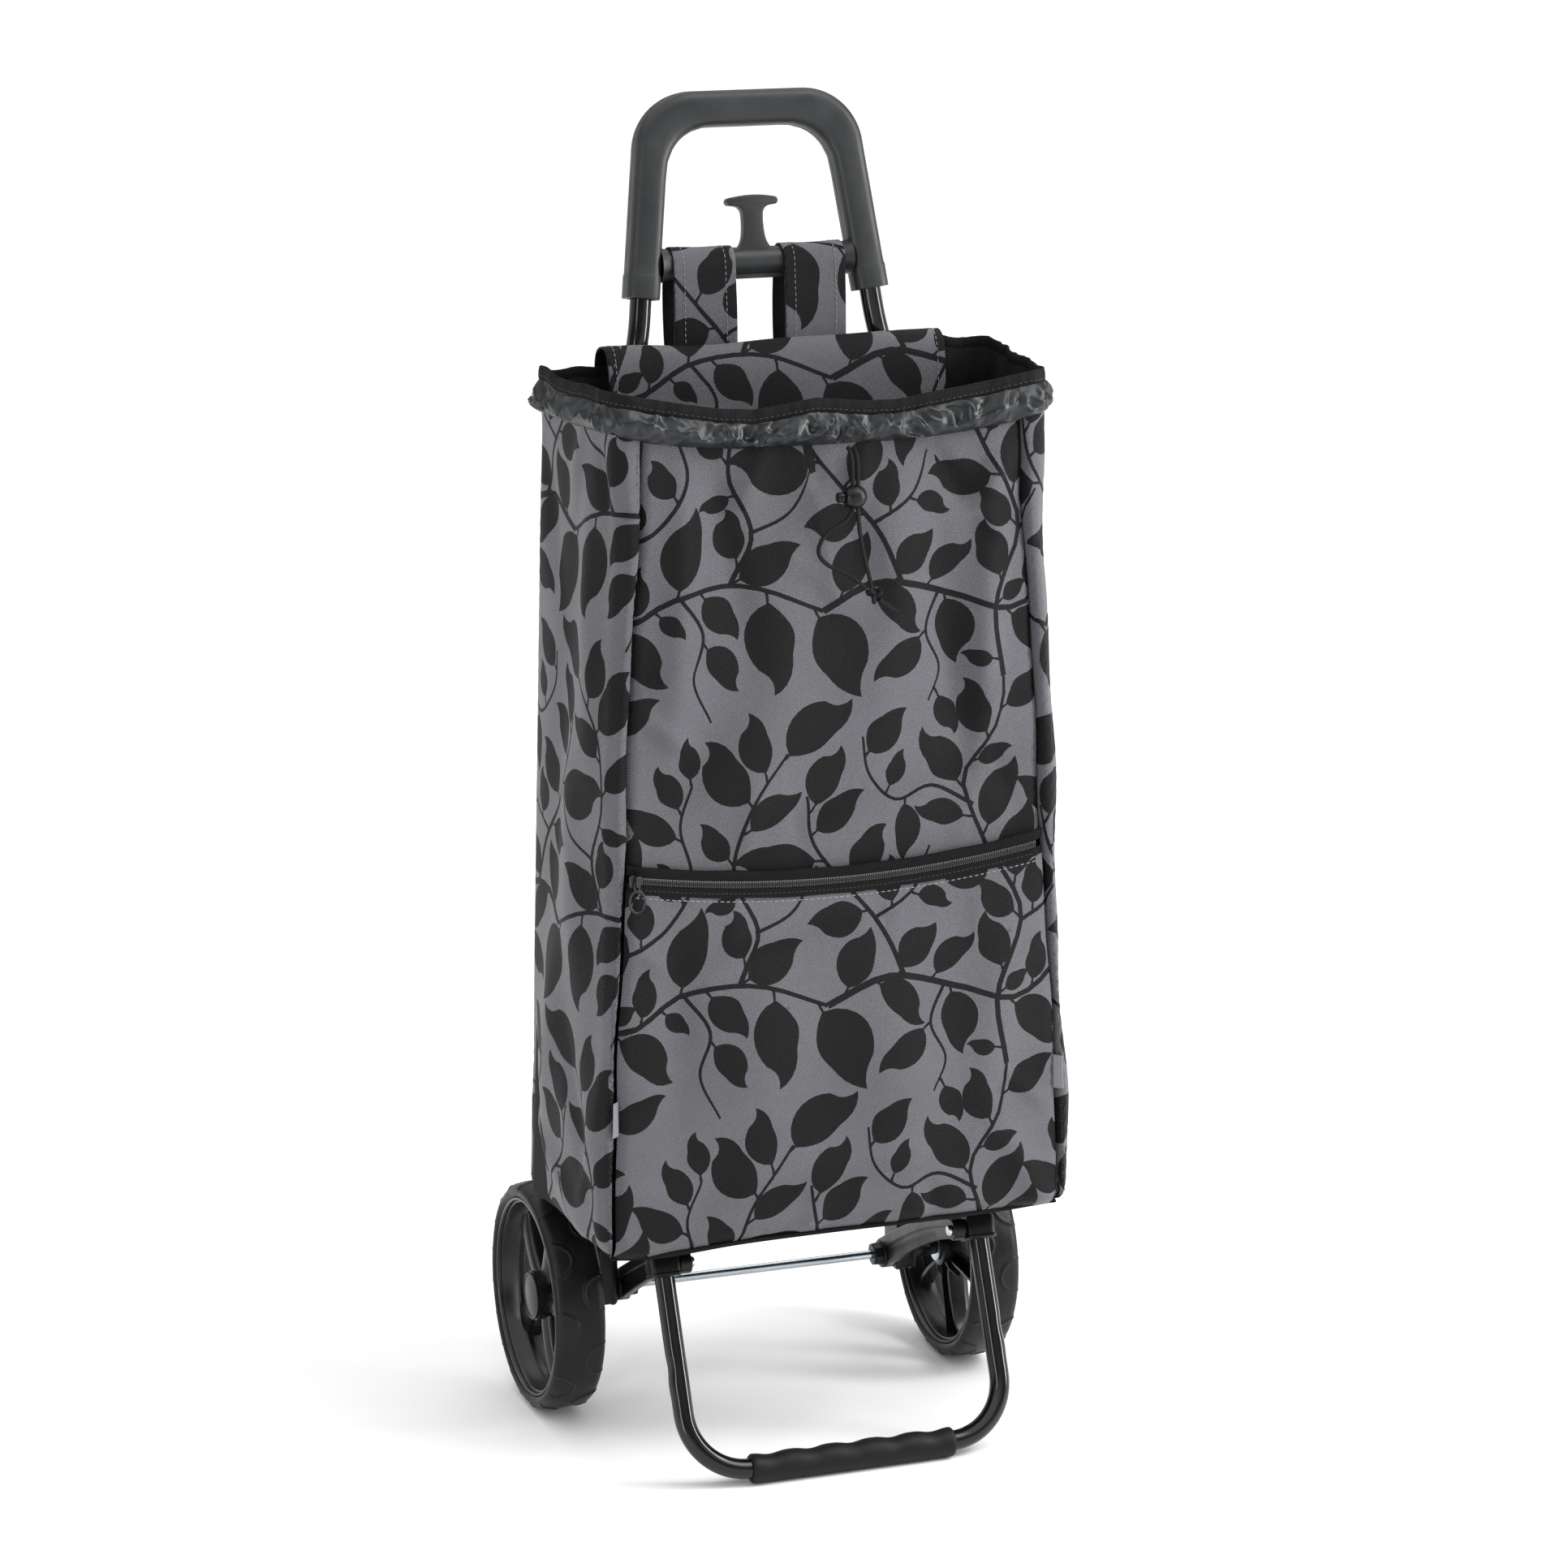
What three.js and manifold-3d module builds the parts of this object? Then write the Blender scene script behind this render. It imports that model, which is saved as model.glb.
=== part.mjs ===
// Two-wheeled shopping trolley: tubular frame, moulded handle, folding front foot,
// fabric bag with drawstring mouth, lid flap and zipped front pocket.
// Millimetres, +Z up. X runs along the axle, the foot points to -Y and the floor is z = 0.

import * as THREE from 'three';
import { mergeVertices } from 'three/addons/utils/BufferGeometryUtils.js';
import Module from 'manifold-3d';

const wasm = await Module();
wasm.setup();

// ---- driving dimensions -------------------------------------------------------------------

const GAP = 0.3; // clearance between touching pieces

// wheels and axle
const WHEEL_R = 87.5;
const RIM_R = 76;
const TYRE_IN_X = 148;
const TYRE_OUT_X = 188;
const AXLE_R = 3.5;
const HUB_R = 19;
const SPOKES = 5;

// rear tubes and their axle brackets
const REAR_TUBE_R = 8;
const REAR_TUBE_WALL = 1.2;
const REAR_TUBE_X = 122.9;
const REAR_TUBE_Y = 8;
const REAR_TUBE_Z = 124.5;

// front foot: a U of tube that leans forward and folds back under the bag
const FOOT_TUBE_R = 7.5;
const FOOT_TUBE_WALL = 1.2;
const FOOT_HALF_X = 125;
const FOOT_BEND_R = 45;
const FOOT_TOP = new THREE.Vector3(0, -142.4, 161);
const GRIP_R = 11.5;
const FOOT_REACH = -210.2;
const GRIP_HALF_X = 80;
const PIVOT = new THREE.Vector3(0, -146.2, 153);
const PIVOT_PIN_R = 2;

// support arms
const ARM_IN_X = 104.5;
const ARM_OUT_X = 113.9;
const BLOCK_IN_X = 114.8;
const BLOCK_OUT_X = 131;

// handle, in its own leaning plane
const HANDLE_FOOT = new THREE.Vector3(0, -6.3, 847);
const HANDLE_LEAN = THREE.MathUtils.degToRad(9.86);
const LEG_X = 89.85;
const LEG_TAPER = 0.1266;
const HANDLE_TOP = 137;
const HANDLE_W = 24;
const HANDLE_D = 24;
const HANDLE_WALL = 3;
const HANDLE_BEND_R = 33;
const CROSSBAR_W = 24;
const CROSSBAR_R = 10.7;

// bag
const BAG_BOTTOM = 176.5;
const BAG_TOP = 762;
const FABRIC = 1.8;
const SEAM_GAP = 0.4;
const COLLAR_TOP = 800;
const BINDING_H = 9;
const ZIP_Z = 457;
const ZIP_SAG = 14;
const ZIP_HALF_X = 161;
const POCKET_GAP = 3;
const FLAP_HALF_X = 131;
const STRAP_W = 48;
const STRAP_X = 43;
const STRAP_LOOP_R = 12.8; // outside of the strap where it goes over the crossbar
const MOUTH_TAPER = 0.024; // the mouth is this much wider behind, and narrower in front

// drawcord
const CORD_R = 1.5;

// the model's origin is the middle of its footprint on the floor
const ORIGIN_SHIFT_Y = (GRIP_R - FOOT_REACH - WHEEL_R) / 2;

// ---- materials ----------------------------------------------------------------------------

function finish(color, roughness, metalness = 0) {
  return new THREE.MeshStandardMaterial({ color, roughness, metalness });
}

const handlePlastic = () => finish(0x414446, 0.5);
const blackPlastic = () => finish(0x1b1b1c, 0.45);
const blackPaint = () => finish(0x121213, 0.25, 0.3);
const tyreRubber = () => finish(0x1d1d1e, 0.7);
const gripRubber = () => finish(0x161617, 0.65);
const zincSteel = () => finish(0xb9c2c6, 0.3, 0.9);
const printedCloth = () => finish(0x6e6e76, 0.85);
const blackNylon = () => finish(0x2b2f31, 0.5);
const blackTape = () => finish(0x151515, 0.85);
const board = () => finish(0x6b5a45, 0.9);

// ---- geometry helpers ---------------------------------------------------------------------

function vec(x, y, z) {
  return new THREE.Vector3(x, y, z);
}

function signedVolume(geometry) {
  const pos = geometry.getAttribute('position');
  const index = geometry.getIndex();
  const a = vec(0, 0, 0);
  const b = vec(0, 0, 0);
  const c = vec(0, 0, 0);
  let sum = 0;
  for (let i = 0; i < index.count; i += 3) {
    a.fromBufferAttribute(pos, index.getX(i));
    b.fromBufferAttribute(pos, index.getX(i + 1));
    c.fromBufferAttribute(pos, index.getX(i + 2));
    sum += a.dot(b.cross(c)) / 6;
  }
  return sum;
}

// Positions only, shared vertices, no zero triangles, faces pointing out.
function closed(geometry) {
  const bare = new THREE.BufferGeometry();
  bare.setAttribute('position', geometry.getAttribute('position').clone());
  if (geometry.getIndex()) bare.setIndex(geometry.getIndex().clone());
  const merged = mergeVertices(bare, 1e-3);
  const old = merged.getIndex();
  const keep = [];
  for (let i = 0; i < old.count; i += 3) {
    const [a, b, c] = [old.getX(i), old.getX(i + 1), old.getX(i + 2)];
    if (a !== b && b !== c && c !== a) keep.push(a, b, c);
  }
  merged.setIndex(keep);
  if (signedVolume(merged) < 0) {
    for (let i = 0; i < keep.length; i += 3) [keep[i], keep[i + 1]] = [keep[i + 1], keep[i]];
    merged.setIndex(keep);
  }
  return merged;
}

function toSolid(geometry) {
  const g = closed(geometry);
  return new wasm.Manifold(new wasm.Mesh({
    numProp: 3,
    vertProperties: new Float32Array(g.getAttribute('position').array),
    triVerts: new Uint32Array(g.getIndex().array),
  }));
}

function fromSolid(solid) {
  const mesh = solid.getMesh();
  const g = new THREE.BufferGeometry();
  g.setAttribute('position', new THREE.BufferAttribute(new Float32Array(mesh.vertProperties), 3));
  g.setIndex(new THREE.BufferAttribute(new Uint32Array(mesh.triVerts), 1));
  return closed(g);
}

function join(...parts) {
  return fromSolid(parts.map(toSolid).reduce((sum, part) => sum.add(part)));
}

function cut(body, ...tools) {
  return fromSolid(tools.map(toSolid).reduce((left, tool) => left.subtract(tool), toSolid(body)));
}

// A closed body through a stack of rings that all have the same number of points.
function loft(rings, loop = false) {
  const n = rings[0].length;
  const flat = rings.flat().flatMap((p) => [p.x, p.y, p.z]);
  const index = [];
  const last = loop ? rings.length : rings.length - 1;
  for (let i = 0; i < last; i++) {
    const below = i * n;
    const above = ((i + 1) % rings.length) * n;
    for (let j = 0; j < n; j++) {
      const k = (j + 1) % n;
      index.push(below + j, below + k, above + k, below + j, above + k, above + j);
    }
  }
  if (!loop) {
    index.push(...cap(rings[0], 0, true), ...cap(rings.at(-1), (rings.length - 1) * n, false));
  }
  const g = new THREE.BufferGeometry();
  g.setAttribute('position', new THREE.Float32BufferAttribute(flat, 3));
  g.setIndex(index);
  return closed(g);
}

function cap(ring, start, flip) {
  const normal = vec(0, 0, 0);
  ring.forEach((p, i) => {
    const q = ring[(i + 1) % ring.length];
    normal.add(vec((p.y - q.y) * (p.z + q.z), (p.z - q.z) * (p.x + q.x), (p.x - q.x) * (p.y + q.y)));
  });
  normal.normalize();
  const u = Math.abs(normal.z) < 0.9 ? vec(0, 0, 1) : vec(1, 0, 0);
  u.cross(normal).normalize();
  const v = normal.clone().cross(u);
  const outline = ring.map((p) => new THREE.Vector2(p.dot(u), p.dot(v)));
  const faces = THREE.ShapeUtils.triangulateShape(outline, []);
  return faces.flatMap(([a, b, c]) => (flip ? [start + a, start + c, start + b]
    : [start + a, start + b, start + c]));
}

// A thin closed panel: a surface point(u, v) given a thickness along depth(u, v).
function panel(point, depth, nu, nv) {
  const flat = [];
  for (const layer of [0, 1]) {
    for (let j = 0; j <= nv; j++) {
      for (let i = 0; i <= nu; i++) {
        const p = point(i / nu, j / nv).addScaledVector(depth(i / nu, j / nv), layer);
        flat.push(p.x, p.y, p.z);
      }
    }
  }
  const at = (i, j, layer) => (layer * (nv + 1) + j) * (nu + 1) + i;
  const index = [];
  const quad = (a, b, c, d) => index.push(a, b, c, a, c, d);
  for (let j = 0; j < nv; j++) {
    for (let i = 0; i < nu; i++) {
      quad(at(i, j, 0), at(i + 1, j, 0), at(i + 1, j + 1, 0), at(i, j + 1, 0));
      quad(at(i, j, 1), at(i, j + 1, 1), at(i + 1, j + 1, 1), at(i + 1, j, 1));
    }
    quad(at(0, j, 0), at(0, j + 1, 0), at(0, j + 1, 1), at(0, j, 1));
    quad(at(nu, j, 0), at(nu, j, 1), at(nu, j + 1, 1), at(nu, j + 1, 0));
  }
  for (let i = 0; i < nu; i++) {
    quad(at(i, 0, 0), at(i, 0, 1), at(i + 1, 0, 1), at(i + 1, 0, 0));
    quad(at(i, nv, 0), at(i + 1, nv, 0), at(i + 1, nv, 1), at(i, nv, 1));
  }
  const g = new THREE.BufferGeometry();
  g.setAttribute('position', new THREE.Float32BufferAttribute(flat, 3));
  g.setIndex(index);
  return closed(g);
}

// A section, given as [side, depth] pairs, carried along a path in the XZ plane.
function sweep(path, section) {
  const rings = path.map(({ x, z, angle }) => section.map(([side, depth]) => vec(
    x + side * Math.sin(angle), depth, z - side * Math.cos(angle),
  )));
  return loft(rings);
}

function pipeShape(outer, inner, sides) {
  const shape = new THREE.Shape();
  const hole = new THREE.Path();
  for (let i = 0; i < sides; i++) {
    const a = (2 * Math.PI * (i + 0.5)) / sides;
    shape[i ? 'lineTo' : 'moveTo'](outer * Math.cos(a), outer * Math.sin(a));
    if (inner) hole[i ? 'lineTo' : 'moveTo'](inner * Math.cos(a), inner * Math.sin(a));
  }
  if (inner) shape.holes.push(hole);
  return shape;
}

function pipe(curve, outer, inner, sides, steps) {
  return new THREE.ExtrudeGeometry(pipeShape(outer, inner, sides), { extrudePath: curve, steps });
}

// A cylinder lying along X between two x values.
function rodX(x0, x1, y, z, radius, sides = 16) {
  const g = new THREE.CylinderGeometry(radius, radius, Math.abs(x1 - x0), sides);
  g.rotateZ(Math.PI / 2);
  return g.translate((x0 + x1) / 2, y, z);
}

function turnedX(profile, sides) {
  const g = new THREE.LatheGeometry(profile.map(([x, r]) => new THREE.Vector2(r, x)), sides);
  return g.rotateZ(-Math.PI / 2);
}

function box(x0, x1, y0, y1, z0, z1) {
  const g = new THREE.BoxGeometry(x1 - x0, y1 - y0, z1 - z0);
  return g.translate((x0 + x1) / 2, (y0 + y1) / 2, (z0 + z1) / 2);
}

function roundedRect(halfX, halfY, radius) {
  const s = new THREE.Shape();
  s.moveTo(-halfX + radius, -halfY);
  s.lineTo(halfX - radius, -halfY);
  s.absarc(halfX - radius, -halfY + radius, radius, -Math.PI / 2, 0);
  s.lineTo(halfX, halfY - radius);
  s.absarc(halfX - radius, halfY - radius, radius, 0, Math.PI / 2);
  s.lineTo(-halfX + radius, halfY);
  s.absarc(-halfX + radius, halfY - radius, radius, Math.PI / 2, Math.PI);
  s.lineTo(-halfX, -halfY + radius);
  s.absarc(-halfX + radius, -halfY + radius, radius, Math.PI, Math.PI * 1.5);
  return s;
}

const trolley = new THREE.Group();
trolley.position.y = ORIGIN_SHIFT_Y;

function add(name, geometry, material, parent = trolley) {
  const mesh = new THREE.Mesh(closed(geometry), material);
  mesh.name = name;
  parent.add(mesh);
  return mesh;
}

const SIDES = [['left', -1], ['right', 1]];

// ---- wheels -------------------------------------------------------------------------------

function addWheel(side, sign) {
  const wheel = new THREE.Group();
  wheel.position.z = WHEEL_R;
  trolley.add(wheel);
  const mirrored = (profile) => profile.map(([x, r]) => [x * sign, r]);

  add(`tyre_${side}`, turnedX(mirrored([
    [TYRE_IN_X + 3, RIM_R + GAP], [TYRE_IN_X, 81], [TYRE_IN_X + 6, 86],
    [TYRE_IN_X + 20, WHEEL_R], [TYRE_OUT_X - 6, 86], [TYRE_OUT_X, 81],
    [TYRE_OUT_X - 3, RIM_R + GAP], [TYRE_IN_X + 3, RIM_R + GAP],
  ]), 40), tyreRubber(), wheel);

  const ring = turnedX(mirrored([
    [TYRE_IN_X + 3, RIM_R], [TYRE_OUT_X - 3, RIM_R], [TYRE_OUT_X - 5, RIM_R - 3],
    [TYRE_OUT_X - 18, RIM_R - 7], [TYRE_IN_X + 12, RIM_R - 7], [TYRE_IN_X + 3, RIM_R - 3],
    [TYRE_IN_X + 3, RIM_R],
  ]), 32);
  const hub = turnedX(mirrored([
    [TYRE_IN_X + 4, 6.5], [TYRE_IN_X + 4, HUB_R - 3], [TYRE_OUT_X - 8, HUB_R],
    [TYRE_OUT_X - 8, HUB_R - 3], [TYRE_OUT_X - 16, HUB_R - 3], [TYRE_OUT_X - 16, 6.5],
    [TYRE_IN_X + 4, 6.5],
  ]), 20);
  const spokes = [];
  for (let i = 0; i < SPOKES; i++) {
    const spoke = new THREE.CylinderGeometry(11, 9, RIM_R - HUB_R - 1, 8);
    spoke.scale(0.8, 1, 1);
    spoke.translate(sign * (TYRE_IN_X + 16), (RIM_R + HUB_R) / 2 - 3, 0);
    spoke.rotateX((2 * Math.PI * i) / SPOKES);
    spokes.push(spoke);
  }
  add(`rim_${side}`, join(ring, hub, ...spokes), blackPlastic(), wheel);

  add(`hub_bush_${side}`, turnedX(mirrored([
    [TYRE_IN_X + 4, AXLE_R + GAP], [TYRE_IN_X + 4, 6.5 - GAP], [TYRE_OUT_X - 16, 6.5 - GAP],
    [TYRE_OUT_X - 16, AXLE_R + GAP], [TYRE_IN_X + 4, AXLE_R + GAP],
  ]), 16), finish(0xd8d8d2, 0.5), wheel);

  add(`hub_cap_${side}`, turnedX(mirrored([
    [TYRE_OUT_X - 8 - 3, 0], [TYRE_OUT_X - 8 - 3, HUB_R - 3 - GAP],
    [TYRE_OUT_X - 8 + GAP, HUB_R - 3 - GAP], [TYRE_OUT_X - 8 + GAP, HUB_R - 1],
    [TYRE_OUT_X - 6.5, HUB_R - 1.5], [TYRE_OUT_X - 5.5, HUB_R - 4], [TYRE_OUT_X - 4.6, 0],
  ]), 20), blackPlastic(), wheel);
}

// ---- axle ---------------------------------------------------------------------------------

function addAxle() {
  const end = TYRE_OUT_X - 11 - 2;
  add('axle_rod', rodX(-end, end, 0, WHEEL_R, AXLE_R), zincSteel());
  for (const [side, sign] of SIDES) {
    const ring = (x0, x1, r) => turnedX([
      [x0 * sign, AXLE_R + GAP], [x0 * sign, r], [x1 * sign, r], [x1 * sign, AXLE_R + GAP],
      [x0 * sign, AXLE_R + GAP],
    ], 20).translate(0, 0, WHEEL_R);
    add(`axle_washer_${side}`, ring(TYRE_IN_X + 1.7, TYRE_IN_X + 3.7, 11), zincSteel());
    add(`axle_spacer_${side}`, ring(BLOCK_OUT_X + 0.5, TYRE_IN_X + 1.4, 6), blackPlastic());
    add(`push_nut_${side}`, ring(TYRE_OUT_X - 15.6, TYRE_OUT_X - 14.2, 8), zincSteel());
  }
}

// ---- rear tubes, brackets and arms --------------------------------------------------------

// A point of the handle leg's centre line, a distance along from the leg's lower end.
function legPoint(along) {
  return [LEG_X - LEG_TAPER * along, HANDLE_FOOT.y + along * Math.sin(HANDLE_LEAN),
    HANDLE_FOOT.z + along * Math.cos(HANDLE_LEAN)];
}

function addRearTube(side, sign) {
  const route = [
    [REAR_TUBE_X, REAR_TUBE_Y, REAR_TUBE_Z], [REAR_TUBE_X, REAR_TUBE_Y, 156],
    [121.5, 2.5, 300], [119.5, -4, 560], [114, -9, 690], [105, -12, 760], [96.5, -12.6, 806],
    legPoint(-20), legPoint(0), legPoint(38),
  ].map(([x, y, z]) => vec(sign * x, y, z));
  const curve = new THREE.CatmullRomCurve3(route);
  add(`rear_tube_${side}`, pipe(curve, REAR_TUBE_R, REAR_TUBE_R - REAR_TUBE_WALL, 10, 18),
    blackPaint());
}

function addBracket(side, sign) {
  const block = new THREE.ExtrudeGeometry(roundedRect(14, 25, 5), {
    depth: BLOCK_OUT_X - BLOCK_IN_X, bevelEnabled: false, curveSegments: 3,
  });
  block.rotateX(Math.PI / 2).rotateZ(Math.PI / 2);
  block.translate(sign > 0 ? BLOCK_IN_X : -BLOCK_OUT_X, 4, REAR_TUBE_Z - GAP - 25);
  const spigotR = REAR_TUBE_R - REAR_TUBE_WALL - 0.5;
  const spigot = new THREE.CylinderGeometry(spigotR, spigotR, 32, 12);
  spigot.rotateX(Math.PI / 2).translate(sign * REAR_TUBE_X, REAR_TUBE_Y, REAR_TUBE_Z + 10);
  const bore = rodX(sign * 105, sign * 135, 0, WHEEL_R, AXLE_R + GAP, 16);
  add(`axle_bracket_${side}`, cut(join(block, spigot), bore), blackPlastic());
}

function addArm(side, sign) {
  const rise = new THREE.CubicBezierCurve(
    new THREE.Vector2(0, WHEEL_R), new THREE.Vector2(-45, 113),
    new THREE.Vector2(-98, 143), new THREE.Vector2(PIVOT.y, PIVOT.z),
  );
  const half = [10.5, 10.5, 10.4, 10.1, 9.6, 9, 8.4, 7.9, 7.4];
  const rings = half.map((h, i) => {
    const t = i / (half.length - 1);
    const p = rise.getPoint(t);
    const dir = rise.getTangent(t);
    const across = new THREE.Vector2(-dir.y, dir.x);
    const at = (x, s) => vec(sign * x, p.x + across.x * s, p.y + across.y * s);
    return [at(ARM_IN_X, -h), at(ARM_OUT_X, -h), at(ARM_OUT_X, h), at(ARM_IN_X, h)];
  });
  const boss = rodX(sign * ARM_IN_X, sign * (BLOCK_IN_X - 0.5), 0, WHEEL_R, 11, 16);
  const eye = rodX(sign * ARM_IN_X, sign * ARM_OUT_X, PIVOT.y, PIVOT.z, 7.5, 14);
  const bore = rodX(sign * 90, sign * 120, 0, WHEEL_R, AXLE_R + GAP, 16);
  const pinHole = rodX(sign * 90, sign * 120, PIVOT.y, PIVOT.z, PIVOT_PIN_R + GAP, 12);
  add(`support_arm_${side}`, cut(join(loft(rings), boss, eye), bore, pinHole), blackPlastic());

  const pin = join(
    rodX(sign * (ARM_IN_X - 3.5), sign * (ARM_IN_X - GAP), PIVOT.y, PIVOT.z, 4, 12),
    rodX(sign * (ARM_IN_X - 3), sign * 116.7, PIVOT.y, PIVOT.z, PIVOT_PIN_R, 12),
  );
  add(`pivot_pin_${side}`, pin, zincSteel());
}

// ---- folding foot -------------------------------------------------------------------------

// The foot's leaning plane: x across, s down along the legs from their tops.
const footDir = vec(0, FOOT_REACH - FOOT_TOP.y, GRIP_R - FOOT_TOP.z);
const FOOT_LENGTH = footDir.length();
footDir.normalize();

function footPoint(x, s) {
  return FOOT_TOP.clone().add(vec(x, 0, 0)).addScaledVector(footDir, s);
}

function footCurve() {
  const path = new THREE.CurvePath();
  const bendTop = FOOT_LENGTH - FOOT_BEND_R;
  const inner = FOOT_HALF_X - FOOT_BEND_R;
  const round = 0.45 * FOOT_BEND_R;
  path.add(new THREE.LineCurve3(footPoint(-FOOT_HALF_X, 0), footPoint(-FOOT_HALF_X, bendTop)));
  path.add(new THREE.CubicBezierCurve3(
    footPoint(-FOOT_HALF_X, bendTop), footPoint(-FOOT_HALF_X, FOOT_LENGTH - round),
    footPoint(-inner - round, FOOT_LENGTH), footPoint(-inner, FOOT_LENGTH),
  ));
  path.add(new THREE.LineCurve3(footPoint(-inner, FOOT_LENGTH), footPoint(inner, FOOT_LENGTH)));
  path.add(new THREE.CubicBezierCurve3(
    footPoint(inner, FOOT_LENGTH), footPoint(inner + round, FOOT_LENGTH),
    footPoint(FOOT_HALF_X, FOOT_LENGTH - round), footPoint(FOOT_HALF_X, bendTop),
  ));
  path.add(new THREE.LineCurve3(footPoint(FOOT_HALF_X, bendTop), footPoint(FOOT_HALF_X, 0)));
  return path;
}

function addFoot() {
  add('foot_tube', pipe(footCurve(), FOOT_TUBE_R, FOOT_TUBE_R - FOOT_TUBE_WALL, 10, 32),
    blackPaint());

  const waves = 5;
  const stations = 24;
  const profile = [[-GRIP_HALF_X, FOOT_TUBE_R + 0.5]];
  for (let i = 0; i <= stations; i++) {
    const t = i / stations;
    const swell = 0.6 - 0.6 * Math.cos(2 * Math.PI * waves * t);
    profile.push([-GRIP_HALF_X + 2 * GRIP_HALF_X * t, GRIP_R - 1.2 + swell]);
  }
  profile.push([GRIP_HALF_X, FOOT_TUBE_R + 0.5], [-GRIP_HALF_X, FOOT_TUBE_R + 0.5]);
  add('foot_grip', turnedX(profile, 12).translate(0, FOOT_REACH, GRIP_R), gripRubber());

  const tilt = Math.atan2(FOOT_TOP.y - FOOT_REACH, FOOT_TOP.z - GRIP_R);
  for (const [side, sign] of SIDES) {
    const centre = footPoint(sign * FOOT_HALF_X, 9);
    const sleeve = new THREE.ExtrudeGeometry(roundedRect(10.8, 10.8, 4), {
      depth: 18, bevelEnabled: false, curveSegments: 3,
    });
    sleeve.translate(0, 0, -9).rotateX(-tilt).translate(centre.x, centre.y, centre.z);
    const along = new THREE.LineCurve3(footPoint(sign * FOOT_HALF_X, -20), footPoint(sign * FOOT_HALF_X, 40));
    const tubeHole = pipe(along, FOOT_TUBE_R + 0.35, 0, 12, 1);
    const pinHole = rodX(sign * 110, sign * 119, PIVOT.y, PIVOT.z, PIVOT_PIN_R + GAP, 12);
    add(`foot_clip_${side}`, cut(sleeve, tubeHole, pinHole), blackPlastic());

    const plug = pipe(new THREE.LineCurve3(
      footPoint(sign * FOOT_HALF_X, 0.4), footPoint(sign * FOOT_HALF_X, 10),
    ), FOOT_TUBE_R - FOOT_TUBE_WALL - 0.4, 0, 10, 1);
    add(`foot_tube_plug_${side}`, plug, blackPlastic());
  }
}

// ---- handle -------------------------------------------------------------------------------

// Centre line of the handle as stations { x, z, angle }, from the left leg end over the top.
function handlePath() {
  const topX = LEG_X - LEG_TAPER * HANDLE_TOP;
  const legAngle = Math.PI / 2 - Math.atan(LEG_TAPER);
  const tangent = HANDLE_BEND_R * Math.tan(legAngle / 2);
  const legZ = HANDLE_TOP - tangent * Math.sin(legAngle);
  const path = [{ x: -LEG_X, z: 0, angle: legAngle }];
  path.push({ x: -LEG_X + LEG_TAPER * legZ, z: legZ, angle: legAngle });
  const centre = { x: -topX + tangent, z: HANDLE_TOP - HANDLE_BEND_R };
  const steps = 6;
  for (let i = 1; i <= steps; i++) {
    const angle = legAngle * (1 - i / steps);
    path.push({
      x: centre.x - HANDLE_BEND_R * Math.sin(angle),
      z: centre.z + HANDLE_BEND_R * Math.cos(angle),
      angle,
    });
  }
  const mirror = path.map(({ x, z, angle }) => ({ x: -x, z, angle: -angle })).reverse();
  return [...path, ...mirror];
}

// Half of the hollow handle section: [side, depth] points of one moulded shell.
function shellSection(front) {
  const w = HANDLE_W / 2;
  const d = HANDLE_D / 2;
  const t = HANDLE_WALL;
  const outer = [[-w, 0.15], [-w, d - 6], [-w + 2.5, d - 2], [-w + 7, d], [w - 7, d],
    [w - 2.5, d - 2], [w, d - 6], [w, 0.15]];
  const inner = [[w - t, 0.15], [w - t, d - 7], [w - 7, d - t], [-w + 7, d - t],
    [-w + t, d - 7], [-w + t, 0.15]];
  return [...outer, ...inner].map(([side, depth]) => [side, front ? -depth : depth]);
}

function hookShape() {
  const s = new THREE.Shape();
  s.moveTo(-17, 30);
  s.quadraticCurveTo(-9.5, 36, -9.2, 46);
  s.lineTo(-9.2, 58);
  s.quadraticCurveTo(-10, 64, -17, 64);
  s.quadraticCurveTo(-20.5, 67, -18, 70.5);
  s.quadraticCurveTo(0, 74, 18, 70.5);
  s.quadraticCurveTo(20.5, 67, 17, 64);
  s.quadraticCurveTo(10, 64, 9.2, 58);
  s.lineTo(9.2, 46);
  s.quadraticCurveTo(9.5, 36, 17, 30);
  s.lineTo(0, CROSSBAR_W);
  return s;
}

function addHandle() {
  const handle = new THREE.Group();
  handle.position.copy(HANDLE_FOOT);
  handle.rotation.x = -HANDLE_LEAN;
  trolley.add(handle);

  const path = handlePath();
  const shells = { front: sweep(path, shellSection(true)), rear: sweep(path, shellSection(false)) };
  add('handle_front_shell', shells.front, handlePlastic(), handle);

  const screws = SIDES.map(([side, sign]) => [side, sign * (LEG_X - LEG_TAPER * 60)]);
  const holes = screws.map(([, x]) => screwAt(x, 2.8, 4.8, GAP));
  add('handle_rear_shell', cut(shells.rear, ...holes), handlePlastic(), handle);
  for (const [side, x] of screws) add(`handle_screw_${side}`, screwAt(x, 2.5, 4.5, 0), zincSteel(), handle);

  const reach = LEG_X - LEG_TAPER * CROSSBAR_W - HANDLE_W / 2 - 1.9;
  const bar = turnedX([
    [-reach, 0], [-reach, 11.6], [-reach + 6, CROSSBAR_R], [reach - 6, CROSSBAR_R], [reach, 11.6],
    [reach, 0],
  ], 16).translate(0, 0, CROSSBAR_W);
  const hook = new THREE.ExtrudeGeometry(hookShape(), { depth: 10, bevelEnabled: false, curveSegments: 5 });
  hook.rotateX(Math.PI / 2).translate(0, 5, 0);
  add('crossbar_with_hook', join(bar, hook), handlePlastic(), handle);
}

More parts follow.
